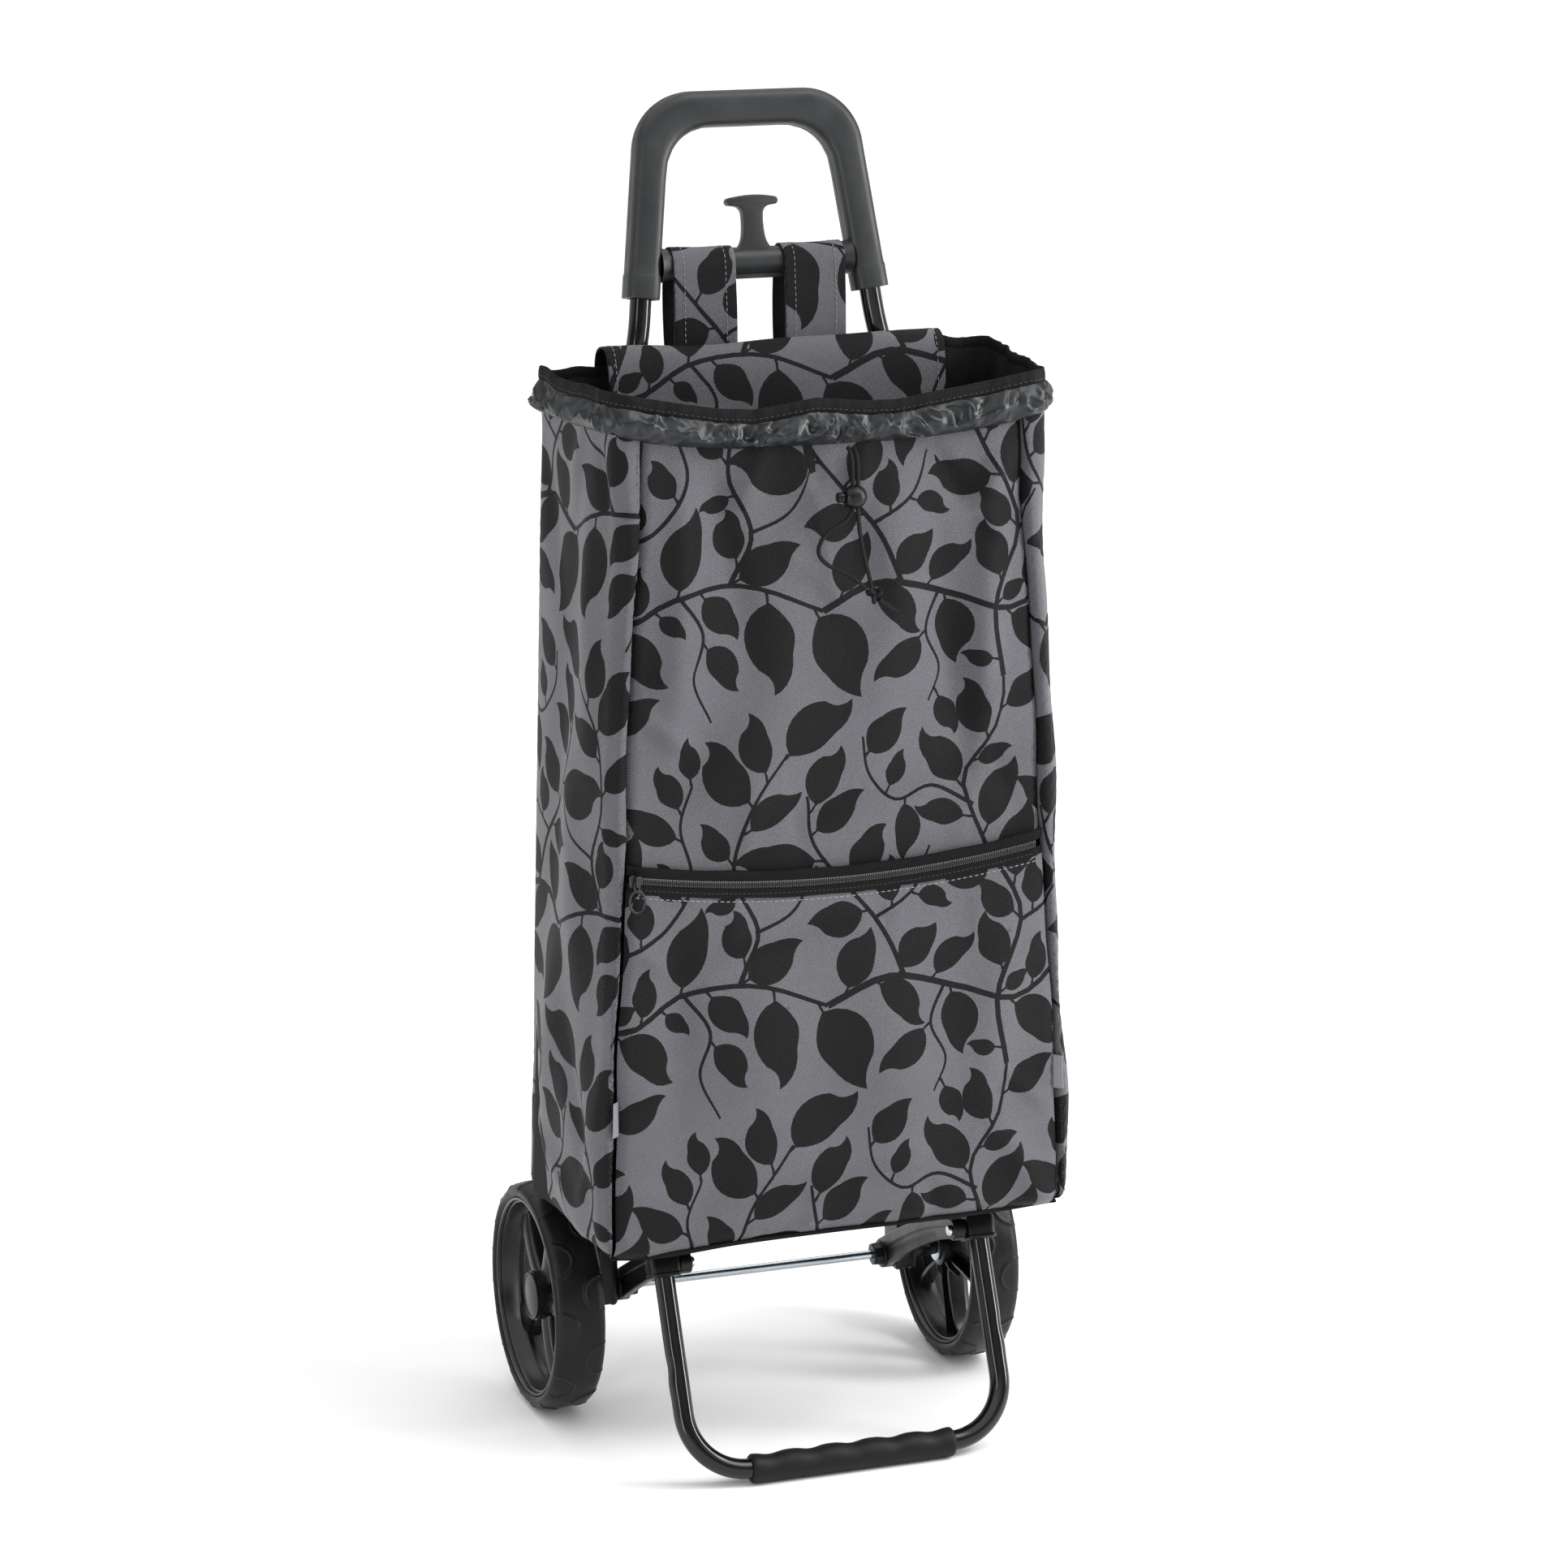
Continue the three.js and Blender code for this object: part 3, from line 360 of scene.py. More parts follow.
braid = woven("braid", (0.004, 0.004, 0.004), 0.65, pitch=1.3, lean=38, contrast=0.5, depth=0.0005,
              Specular_IOR_Level=0.25)
thread = woven("thread", (0.30, 0.30, 0.33), 0.6, pitch=0.5, lean=30, contrast=0.2)
thread_dark = woven("thread_dark", (0.05, 0.05, 0.055), 0.6, pitch=0.5, lean=30, contrast=0.2)


def make_nylon():
    mat, tree, bsdf = material("nylon", (0.009, 0.011, 0.0125), 0.36, Specular_IOR_Level=0.36)
    crumple = object_noise(tree, 42.0, 4.0)
    weave = object_noise(tree, 1700.0, 2.0)
    tree.links.new(ramp(tree, crumple, 0.3, 0.42), bsdf.inputs["Roughness"])
    tinted(tree, bsdf, ramp(tree, crumple, 0, 1), (0.0055, 0.007, 0.008), (0.012, 0.0145, 0.0165))
    bumped(tree, bsdf, [(crumple, 0.0003, 0.3), (weave, 0.00003, 0.4)])
    return mat


def make_zinc():
    mat, tree, bsdf = material("zinc", (0.50, 0.54, 0.57), 0.24, metallic=1.0)
    cloud = object_noise(tree, 24.0, 3.0)
    tree.links.new(ramp(tree, cloud, 0.2, 0.3), bsdf.inputs["Roughness"])
    tinted(tree, bsdf, ramp(tree, cloud, 0, 1), (0.46, 0.51, 0.55), (0.57, 0.61, 0.64))
    return mat


nylon = make_nylon()
zinc = make_zinc()


# ---- the printed pattern: leaves on branching stems ------------------------------------------

TILE_W, TILE_H = 304.0, 290.0

STEMS = [
    (5.4, [(0, 58), (48, 76), (104, 62), (150, 50), (196, 74), (250, 78), (304, 58)]),
    (4.6, [(141, 0), (133, 54), (154, 112), (128, 166), (112, 214), (136, 256), (141, 290)]),
    (4.0, [(60, 74), (44, 112), (20, 142), (-6, 176), (-14, 214)]),
    (3.8, [(236, 78), (252, 116), (236, 158), (246, 204), (276, 246)]),
    (3.4, [(152, 106), (184, 124), (204, 158), (196, 196), (206, 226)]),
    (3.2, [(118, 196), (86, 212), (58, 204), (34, 226), (30, 254)]),
    (3.0, [(40, 118), (70, 138), (84, 168)]),
    (3.0, [(196, 74), (214, 46), (206, 14), (220, -18)]),
    (2.8, [(92, 66), (80, 38), (92, 10), (82, -14)]),
    (2.8, [(250, 116), (280, 130), (300, 160)]),
]


def ribbon(points, width):
    line = spline([(*p, 0) for p in points], 26)[:, :2]
    t = np.gradient(line, axis=0)
    t /= np.linalg.norm(t, axis=1)[:, None]
    side = np.stack([-t[:, 1], t[:, 0]], axis=1)
    half = width / 2 * np.linspace(1, 0.55, len(line))[:, None]
    return np.concatenate([line + side * half, (line - side * half)[::-1]]), line


def leaf(base, heading, length, width, curl):
    """A pointed leaf with a curled midrib, as a closed outline."""
    t = np.linspace(0, 1, 15)
    bend = heading + curl * (t - 0.5) - 1.5 * curl * np.maximum(0, t - 0.66) / 0.34
    step = np.stack([np.cos(bend), np.sin(bend)], axis=1) * length / 14
    rib = np.array(base) + np.concatenate([[[0, 0]], np.cumsum(step[:-1], axis=0)])
    side = np.stack([-np.sin(bend), np.cos(bend)], axis=1)
    half = width / 2 * np.sin(math.pi * t ** 0.74) ** 1.05
    half[0] = half[-1] = 0
    left = rib + side * (half * 1.12)[:, None]
    right = rib - side * (half * 0.88)[:, None]
    return np.concatenate([left, right[1:-1][::-1]]), rib


def make_print(seed):
    rng = random.Random(seed)
    shapes, taken = [], []

    def wrapped(a, b):
        d = np.abs(a - b)
        return math.hypot(min(d[0], TILE_W - d[0]), min(d[1], TILE_H - d[1]))

    for width, points in STEMS:
        poly, line = ribbon(points, width)
        shapes.append(poly)
        taken += [(p % (TILE_W, TILE_H), 3.0) for p in line[::2]]
    for width, points in STEMS:
        line = resample(ribbon(points, width)[1], 200)
        run = np.linalg.norm(np.diff(line, axis=0), axis=1).sum()
        at, side = 14.0, rng.choice((-1, 1))
        while at < run + 4:
            k = min(199, int(at / run * 199))
            t = line[min(k + 1, 199)] - line[max(k - 1, 0)]
            along = math.atan2(t[1], t[0])
            for attempt in range(14):
                length = rng.choice((rng.uniform(36, 58), rng.uniform(42, 66),
                                     rng.uniform(66, 92))) * (1 - 0.035 * attempt)
                heading = along + side * math.radians(rng.uniform(28, 74))
                wide = length * rng.uniform(0.46, 0.62)
                start = line[k] + np.array((math.cos(heading), math.sin(heading))) * rng.uniform(4, 9)
                outline, rib = leaf(start, heading, length, wide,
                                    side * rng.uniform(0.5, 1.1) * rng.choice((-1, -1, 1)))
                own = [(rib[i] % (TILE_W, TILE_H), wide * f) for i, f in ((5, 0.42), (8, 0.42), (11, 0.22))]
                if all(wrapped(p, q) > r + s + 0.8 for p, r in own for q, s in taken
                       if wrapped(q, line[k] % (TILE_W, TILE_H)) > 7):
                    shapes.append(outline)
                    stalk = ribbon([line[k], (line[k] + start) / 2, start + (rib[2] - start) * 0.6], 2.4)[0]
                    shapes.append(stalk)
                    taken += own
                    break
                side = -side if attempt % 3 == 2 else side
            at += rng.uniform(17, 27)
            side = -side
    return shapes


PRINT = make_print(11)


def print_over(low, high, shift=(0.0, 0.0)):
    """The print's outlines that touch the box from low to high."""
    found = []
    for i in range(math.floor((low[0] - shift[0]) / TILE_W) - 1,
                   math.ceil((high[0] - shift[0]) / TILE_W) + 1):
        for j in range(math.floor((low[1] - shift[1]) / TILE_H) - 1,
                       math.ceil((high[1] - shift[1]) / TILE_H) + 1):
            off = np.array((i * TILE_W + shift[0], j * TILE_H + shift[1]))
            for s in PRINT:
                p = s + off
                if (p.max(0) > low).all() and (p.min(0) < high).all():
                    found.append(p)
    return found


def area2(poly):
    x, y = poly[:, 0], poly[:, 1]
    return float((x * np.roll(y, -1) - np.roll(x, -1) * y).sum())


def cut_cloth(outline, spacing, shift=(0.0, 0.0)):
    """A flat cut of cloth as triangles, each known to be printed or plain."""
    outline = np.asarray(outline, float)
    points, faces = [], []
    for poly in [outline] + print_over(outline.min(0), outline.max(0), shift):
        poly = poly if area2(poly) > 0 else poly[::-1]
        faces.append(list(range(len(points), len(points) + len(poly))))
        points += [tuple(p) for p in poly]
    low, high = outline.min(0), outline.max(0)
    nx, ny = (int(s) + 1 for s in (high - low) / spacing)
    for j in range(ny + 1):
        for i in range(nx + 1):
            off = 0.5 if j % 2 else 0.0
            points.append((low[0] + (i + off + 0.21) * spacing, low[1] + (j + 0.37) * spacing))
    verts, _, tris, _, _, origin = delaunay_2d_cdt([Vector(p) for p in points], [], faces, 0, 1e-3, True)
    keep = [(t, len(o) > 1) for t, o in zip(tris, origin) if 0 in o]
    used = sorted({i for t, _ in keep for i in t})
    renumber = {old: new for new, old in enumerate(used)}
    flat = np.array([verts[i][:] for i in used])
    return flat, [tuple(renumber[i] for i in t) for t, _ in keep], [int(p) for _, p in keep]


def edge_line(p, q, step=6.0):
    p, q = np.array(p, float), np.array(q, float)
    n = max(2, int(np.linalg.norm(q - p) / step))
    return [tuple(p + (q - p) * i / n) for i in range(n)]


def stitches(route, length=3.0, gap=1.3, radius=0.32):
    """Small rounded stitches laid end to end along a route."""
    route = np.asarray(route, float)
    along = np.concatenate([[0], np.cumsum(np.linalg.norm(np.diff(route, axis=0), axis=1))])
    parts, at = [], 0.6
    while at + length < along[-1]:
        ends = [np.array([np.interp(at + s, along, route[:, k]) for k in range(3)])
                for s in (0, length * 0.5, length)]
        d = ends[2] - ends[0]
        d /= np.linalg.norm(d)
        side = np.cross(d, (0.31, 0.2, 0.93))
        side /= np.linalg.norm(side)
        up = np.cross(d, side)
        verts = [ends[0]]
        for f, r in ((0.12, 0.8), (0.5, 1.0), (0.88, 0.8)):
            c = ends[0] + (ends[2] - ends[0]) * f
            for k in range(5):
                a = 2 * math.pi * k / 5
                verts.append(c + (side * math.cos(a) + up * math.sin(a)) * radius * r)
        verts.append(ends[2])
        faces = [(0, 1 + (k + 1) % 5, 1 + k) for k in range(5)]
        for ring in (0, 1):
            b = 1 + ring * 5
            faces += [(b + k, b + (k + 1) % 5, b + 5 + (k + 1) % 5, b + 5 + k) for k in range(5)]
        faces += [(16, 11 + k, 11 + (k + 1) % 5) for k in range(5)]
        parts.append((np.array(verts), faces, np.array([(v[0], v[2]) for v in verts])))
        at += length + gap
    return joined(*parts)


# ---- the bag's shape -------------------------------------------------------------------------

BAG_BOTTOM, BAG_TOP = 176.5, 762.0
ZIP_HALF_X, ZIP_LEVEL, ZIP_SAG = 161.0, 457.0, 14.0


def height(z):
    return (z - BAG_BOTTOM) / (BAG_TOP - BAG_BOTTOM)


def front_y(z):
    return -183 + 15 * height(z)


def rear_y(z):
    return -15 - 11 * height(z)


def seam_x(z):
    return 176 - 32 * np.maximum(height(z), 0) ** 1.15 + 1.1 * np.sin(z / 41.0) + 0.6 * np.sin(z / 17.0 + 1)


def corner_x(z):
    return (186.5 - 22.5 * height(z) + 1.6 * np.sin(z / 43.0 + 2) + 0.9 * np.sin(z / 19.0)
            + 1.2 * np.exp(-((z - 262) / 40) ** 2))


def rear_x(z):
    return 189 - 12 * height(z)


UNDER_R = 15.0


def under(z):
    """How far the cloth turns in as it rounds under the bottom edge."""
    d = np.clip(UNDER_R - (np.asarray(z, float) - BAG_BOTTOM), 0, UNDER_R)
    return UNDER_R - np.sqrt(UNDER_R ** 2 - d ** 2)


def drooped(verts):
    """The front left corner of the bag hangs a little below the rest."""
    verts = np.array(verts, float)
    x, y, z = verts.T
    near = np.exp(-((x + 150) / 48) ** 2) * np.clip((-y - 105) / 60, 0, 1)
    verts[:, 2] -= 5.5 * near * np.clip(1 - (z - 175) / 70, 0, 1)
    return verts


def zip_z(x):
    return ZIP_LEVEL - ZIP_SAG * (1 - (x / ZIP_HALF_X) ** 2)


def cloth_top(x):
    """Where the printed cloth meets the nylon collar."""
    return 761 + 15 * np.minimum(np.abs(x) / 168, 1.0) ** 3


def folds(x, z, table):
    """Soft ridges and hollows: (x, z, lean in degrees, half length, half width, height)."""
    total = np.zeros_like(x)
    for cx, cz, lean, long, wide, high in table:
        c, s = math.cos(math.radians(lean)), math.sin(math.radians(lean))
        a = (x - cx) * s + (z - cz) * c
        b = (x - cx) * c - (z - cz) * s
        total += high * np.exp(-(a / long) ** 2 - (b / wide) ** 2)
    return total


FRONT_FOLDS = [
    (-116, 660, 4, 120, 13, 3.2), (-84, 690, -10, 80, 15, -3.0), (-44, 600, 14, 120, 28, 3.4),
    (10, 700, -18, 60, 16, -2.6), (44, 640, 6, 110, 24, 3.2), (88, 600, -8, 120, 17, -3.0),
    (118, 640, 3, 120, 13, 3.6), (-20, 505, 70, 90, 18, 2.6), (70, 500, 76, 90, 14, -2.2),
    (-120, 520, 35, 60, 16, -2.4), (128, 735, 40, 40, 9, 2.6), (-60, 742, 30, 34, 9, 2.4),
    (84, 738, -35, 34, 9, -2.4), (20, 744, 12, 26, 7, 2.4), (-16, 742, -14, 26, 7, -2.2),
    (-128, 600, 60, 26, 6, 1.6), (-130, 560, -50, 24, 6, 1.4), (128, 570, 55, 26, 6, 1.6),
               (126, 690, -50, 26, 6, 1.4),
    (-70, 480, 12, 30, 8, 1.6), (-30, 476, -10, 26, 7, -1.4), (100, 482, 14, 30, 8, 1.5),
               (132, 500, -18, 30, 7, -1.4),
]
POCKET_FOLDS = [
    (-60, 330, 10, 110, 36, 3.0), (40, 300, -8, 120, 34, 3.4), (120, 330, 6, 110, 20, 2.6),
    (-126, 350, 3, 90, 16, -2.6), (90, 250, 62, 60, 16, -2.4), (-20, 400, 80, 110, 12, -2.4),
    (0, 232, 84, 140, 16, 2.2), (-100, 220, 40, 46, 13, -2.2), (146, 210, -30, 50, 12, 2.6),
    (-150, 300, 55, 28, 6, 1.5), (150, 270, -52, 28, 6, 1.5), (152, 380, 50, 26, 6, 1.4),
                (-148, 400, -50, 24, 6, 1.3),
    (-80, 418, 10, 26, 8, 1.4), (30, 414, -12, 26, 8, -1.4), (110, 420, 12, 26, 8, 1.4),
                (-20, 196, 20, 20, 8, 1.4),
    (70, 196, -20, 20, 8, -1.3),
]


def front_surface(x, z):
    """The upper front: swells forward and dips into the seams at its sides."""
    x, z = np.asarray(x, float), np.asarray(z, float)
    u = np.clip(np.abs(x) / seam_x(z), 0, 1)
    top = cloth_top(x)
    v = np.clip((z - zip_z(x)) / (top - zip_z(x)), 0, 1)
    body = np.sin(math.pi * v) ** 0.8 * (1 - u ** 2.6)
    edge = np.clip((1 - u) * seam_x(z) / 16, 0, 1)
    y = front_y(z) - 5.0 * body - 2.1 * folds(x, z,
                                              FRONT_FOLDS) * np.sqrt(edge) * (0.35 + 0.65 * np.clip(v * 5,
                                                                                                    0, 1))
    return y + 4.0 * np.exp(-((1 - u) * seam_x(z) / 2.4) ** 2)


def pocket_surface(x, z):
    x, z = np.asarray(x, float), np.asarray(z, float)
    side = seam_x(z) - 1.0
    u = np.clip(np.abs(x) / side, 0, 1)
    top = zip_z(x) - 12
    v = np.clip((z - BAG_BOTTOM) / (top - BAG_BOTTOM), 0, 1)
    body = np.sin(math.pi * v ** 0.8) ** 0.7 * (1 - u ** 3)
    edge = np.clip((1 - u) * side / 16, 0, 1) * np.clip((1 - v) * 8, 0, 1)
    y = front_y(z) - 4.2 - 6.0 * body - 1.9 * folds(x, z, POCKET_FOLDS) * np.sqrt(edge)
    y = y + 4.0 * np.exp(-((1 - u) * side / 2.4) ** 2)
    return y + 0.9 * under(z)


def tapered(low, high, half, steps=30):
    """A closed outline between two level lines, with sides at half(z)."""
    bottom = [(x, low(x)) for x in np.linspace(-half(low(-170)), half(low(170)), steps)]
    right = [(half(z), z) for z in np.linspace(low(170), high(half(low(170))), steps)][1:-1]
    top = [(x, high(x)) for x in np.linspace(half(high(150)), -half(high(150)), steps)]
    left = [(-x, z) for x, z in right[::-1]]
    return bottom + right + top + left


def add_front():
    outline = tapered(lambda x: zip_z(x) + 7.6, cloth_top, lambda z: seam_x(z) - 0.4)
    flat, tris, printed = cut_cloth(outline, 5.0, shift=(-12, 4))
    y = front_surface(flat[:, 0], flat[:, 1])
    verts = np.stack([flat[:, 0], y, flat[:, 1]], axis=1)
    piece("bag_front_upper", verts, tris, [printed_grey, printed_black], slot="printed_cloth",
          nodes=["bag_front_panel"], uv=flat, index=printed, sharp=0)

    outline = tapered(lambda x: BAG_BOTTOM + 0 * x, lambda x: zip_z(x) - 8.6, lambda z: seam_x(z) - 1.0)
    flat, tris, printed = cut_cloth(outline, 5.0, shift=(-12, 4))
    y = pocket_surface(flat[:, 0], flat[:, 1])
    verts = np.stack([flat[:, 0], y, flat[:, 1]], axis=1)
    piece("bag_pocket", drooped(verts), tris, [printed_grey, printed_black], slot="printed_cloth",
          nodes=["pocket_panel"], uv=flat, index=printed, sharp=0)

    x = np.linspace(-156, 157, 90)
    z = zip_z(x) - 12.4
    route = np.stack([x, pocket_surface(x, z) - 0.15, z], axis=1)
    v, f, t = stitches(route, length=3.1, gap=1.5, radius=0.34)
    piece("pocket_top_stitching", v, f, thread, uv=t)


SIDE_FOLDS = [
    (60, 640, 4, 90, 16, 3.0), (110, 560, -6, 120, 22, -3.0), (75, 440, 10, 90, 22, 3.0),
    (120, 330, -14, 90, 22, 3.4), (60, 270, 26, 60, 14, -3.0), (100, 215, 60, 60, 12, 2.6),
    (140, 700, 20, 60, 14, -2.4), (90, 745, -14, 30, 9, 2.6), (44, 738, 18, 34, 8, -2.2),
    (40, 240, -20, 44, 10, 2.2), (150, 250, 12, 60, 14, -2.4),
]


def side_plan(z):
    """The gusset's line round the bag at one height, from the front seam to the back panel."""
    f, r = front_y(z), rear_y(z)
    s, c, e = float(seam_x(z)), corner_x(z), rear_x(z)
    tuck = 1 - math.exp(-((z - BAG_BOTTOM) / 16.0) ** 2)
    swell = 5.5 * math.sin(math.pi * min(max(height(z), 0), 1)) ** 0.7
    b = float(under(z))
    f, r, s, c, e = f + b * 0.9, r - b * 0.7, s - b * 0.25, c - b, e - b
    return [
        (s + 0.2, f + 4.6), (s + 2.4, f - 1.8), (lerp(s, c, 0.5), f - 2.6), (c - 6, f - 0.2),
        (c - 0.8 - 2 * (1 - tuck), f + 5.5), (c + 1.0 - 3 * (1 - tuck), f + 17),
        (lerp(c, e, 0.35) + swell * 0.8, lerp(f, r, 0.35)), (lerp(c, e, 0.7) + swell * 0.5, lerp(f, r, 0.7)),
        (e - 0.5, r - 14), (e - 3.5, r - 4.0), (e - 10, r - 0.6),
    ]


def lerp(a, b, t):
    return a + (b - a) * t


GUSSET_W = 182.0


def add_gussets():
    levels = np.linspace(BAG_BOTTOM, 778, 110)
    plans = []
    for z in levels:
        line = spline([(*p, z) for p in side_plan(min(z, BAG_TOP))], 90)
        line[:, 2] = z
        plans.append(line)
    plans = np.array(plans)
    normals = np.gradient(plans, axis=1)
    normals = np.stack([-normals[..., 1], normals[..., 0]], axis=-1)
    normals /= np.linalg.norm(normals, axis=-1)[..., None]
    normals = -normals

    def surface(u, z):
        a = np.clip(u / GUSSET_W, 0, 1) * 89
        b = np.clip((z - BAG_BOTTOM) / (778 - BAG_BOTTOM), 0, 1) * 109
        i, j = np.minimum(a.astype(int), 88), np.minimum(b.astype(int), 108)
        fa, fb = (a - i)[:, None], (b - j)[:, None]

        def mixed(grid):
            return ((1 - fb) * ((1 - fa) * grid[j, i] + fa * grid[j, i + 1])
                    + fb * ((1 - fa) * grid[j + 1, i] + fa * grid[j + 1, i + 1]))
        p, n = mixed(plans), mixed(normals)
        soft = np.clip((u - 22) / 22, 0, 1) * np.clip((GUSSET_W - u) / 20, 0, 1)
        lift = 1.7 * folds(u, z, SIDE_FOLDS) * soft
        lip = folds(u, z, [(11, 560, 0, 130, 5, 1.4), (12, 330, 0, 90, 5, 1.6), (11, 690, 3, 40, 5, 1.8)])
        p[:, :2] += n[:, :2] * (lift + lip)[:, None]
        return p

    for side, sign in (("left", -1), ("right", 1)):
        shift = (18, -20) if sign > 0 else (96, 60)
        ends = lambda u: (cloth_top(corner_x(BAG_TOP) * np.ones(1))[0] if u > 22
                          else 761 + 15 * ((146 + u) / 168) ** 3)
        top = [(u, min(776.0, ends(u))) for u in np.linspace(0, GUSSET_W, 30)]
        outline = edge_line((0, BAG_BOTTOM), (GUSSET_W, BAG_BOTTOM)) + edge_line(
            (GUSSET_W, BAG_BOTTOM), top[-1]) + top[::-1] + edge_line(top[0], (0, BAG_BOTTOM))[1:]
        flat, tris, printed = cut_cloth(outline, 5.5, shift=shift)
        p = surface(flat[:, 0], flat[:, 1])
        p[:, 0] *= sign
        if sign < 0:
            tris = [t[::-1] for t in tris]
        piece(f"bag_side_{side}", drooped(p), tris, [printed_grey, printed_black], slot="printed_cloth",
              nodes=[f"bag_gusset_{side}"], uv=flat * (sign, 1), index=printed, sharp=0)

        z = np.linspace(180, 766, 150)
        x = seam_x(z) + 3.8
        route = np.stack([sign * x, front_y(z) - 2.35, z], axis=1)
        v, f, t = stitches(route, length=2.8, gap=1.2, radius=0.22)
        piece(f"seam_stitching_{side}", drooped(v), f, thread_dark, uv=t)


def bag_loop(z, inset=0.0, count=200):
    """The bag's whole outline at one height, as points (x, y), starting at the middle back."""
    half = side_plan(z)[1:]
    right = [(x - inset if x > 20 else x, y) for x, y in half]
    loop = [(0, rear_y(z)), (rear_x(z) * 0.5, rear_y(z)), (rear_x(z) - 16, rear_y(z) - 0.3)]
    loop += right[::-1] + [(float(seam_x(z)) * 0.6, front_y(z) - 3.6), (0, front_y(z) - 4.4)]
    mirror = [(-x, y) for x, y in loop[1:-1]][::-1]
    line = spline([(*p, z) for p in loop + mirror + [loop[0]]], count + 1)[:-1]
    return line


def add_back_and_base():
    nz, nu = 60, 60
    levels = np.linspace(BAG_BOTTOM, 770, nz)
    verts, uv = [], []
    for z in levels:
        for k in range(nu):
            u = -1 + 2 * k / (nu - 1)
            x = u * (rear_x(min(z, BAG_TOP)) - 9.5)
            y = rear_y(min(z, BAG_TOP)) - 0.5
            bulge = 3.0 * math.sin(math.pi * (z - BAG_BOTTOM) / (770 - BAG_BOTTOM)) * (1 - u * u)
            ripple = 1.2 * noise.noise(Vector((x / 34, z / 120, 3.1))) * (1 - u ** 4)
            verts.append((x, y + bulge + ripple, z))
            uv.append((x, z))
    piece("bag_back", verts, grid_faces(nu, nz), lining_black, slot="black_nylon",
          nodes=["bag_back_panel"], uv=uv, sharp=0)

    count = 200
    rows, uv = [], []
    for k, (z, out) in enumerate([(179.6, -4.2), (178.8, -3.2), (177.6, -2.8), (176.4, -3.2),
                                  (175.6, -5.0), (175.3, -14.0), (175.3, -60.0)]):
        loop = bag_loop(178.6, 0, count)
        centre = np.array((0, -99.0, 0))
        away = loop - centre
        away[:, 2] = 0
        reach = np.linalg.norm(away, axis=1)[:, None]
        loop = loop + away / reach * out
        loop[:, 2] = z + (0.5 if k > 3 else 0.0)
        rows.append(loop)
        run = np.concatenate([[0], np.cumsum(np.linalg.norm(np.diff(loop, axis=0), axis=1))])
        uv += [(r, z - out) for r in run]
    rows = np.concatenate(rows)
    faces = grid_faces(count, 7, wrap_u=True) + [tuple(range(6 * count, 7 * count))]
    piece("bag_base_binding", drooped(rows), faces, black_tape, slot="black_tape", nodes=["bag_base"], uv=uv)

    lo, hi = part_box("base_board")
    x0, x1, y0, y1 = (c * 1000 for c in (lo.x, hi.x, lo.y - AXLE_Y, hi.y - AXLE_Y))
    x0, x1, y0, y1 = x0 + 9, x1 - 9, y0 + 11, y1 - 5
    mx, my, r = (x0 + x1) / 2, (y0 + y1) / 2, 12
    corner = arc(x1 - r, y1 - r, r, 0, 90, 6) + arc(x0 + r, y1 - r, r, 90, 180, 6)
    corner += arc(x0 + r, y0 + r, r, 180, 270, 6) + arc(x1 - r, y0 + r, r, 270, 360, 6)
    n = len(corner)
    verts = []
    for z, s in ((176.6, 1.0), (178.6, 1.004), (180.0, 1.0), (180.5, 0.985)):
        verts += [(mx + (x - mx) * s, my + (y - my) * s, z) for x, y in corner]
    faces = grid_faces(n, 4, wrap_u=True) + [tuple(range(n))[::-1], tuple(range(3 * n, 4 * n))]
    piece("stiffener_board", verts, faces, board, slot="board", nodes=["base_board"])


# ---- collar, binding and lining ----------------------------------------------------------------

MOUTH_N = 520


def mouth_loop():
    """The mouth's outline, evenly stepped, and the outward direction at each point."""
    front, rear, r = -168.5, -26.0, 17.0
    hx_front, hx_rear = 164.0, 176.0
    pts = arc(-hx_front + r, front + r, r, 180, 270, 8) + arc(hx_front - r, front + r, r, 270, 360, 8)
    pts += arc(hx_rear - r, rear - r, r, 0, 90, 8) + arc(-hx_rear + r, rear - r, r, 90, 180, 8)
    pts.append(pts[0])
    line = resample(np.array([(x, y, 0) for x, y in pts]), MOUTH_N + 1)[:-1, :2]
    for _ in range(6):
        line = (np.roll(line, 1, axis=0) + line * 2 + np.roll(line, -1, axis=0)) / 4
    t = np.roll(line, -1, axis=0) - np.roll(line, 1, axis=0)
    n = np.stack([t[:, 1], -t[:, 0]], axis=1)
    return line, n / np.linalg.norm(n, axis=1)[:, None]


def binding_top(line):
    x, y = line[:, 0], line[:, 1]
    front = np.interp(x, [-178, -150, -88, -62, -14, 20, 48, 100, 150, 172],
                      [805.5, 801, 789.5, 787.5, 793.0, 789.5, 790, 797.5, 804.5, 805.5])
    rear = np.interp(x, [-178, -140, -60, 60, 140, 178], [806, 800, 806, 806, 811, 806])
    blend = np.clip((y + 150) / 100, 0, 1)
    blend = blend * blend * (3 - 2 * blend)
    return front * (1 - blend) + rear * blend


def gathers(s, v):
    """Puckers of the gathered nylon at share s round the mouth and share v up the collar."""
    warp = 0.012 * noise.noise(Vector((s * 22, v * 1.4, 4.4)))
    total = 0.0
    for across, up, size, k in ((26, 0.9, 1.5, 0), (54, 1.2, 1.35, 1), (110, 1.5, 0.95, 2),
                                (200, 1.9, 0.4, 3)):
        lean = 0.018 * math.sin(2 * math.pi * s * (5 + 3 * k) + k)
        at = (s + warp + lean * (v - 0.5)) * across
        fold = noise.noise(Vector((at, v * up, 3.3 + 5 * k)))
        total += size * (0.62 - 2.4 * abs(fold) ** 0.85)
    return total


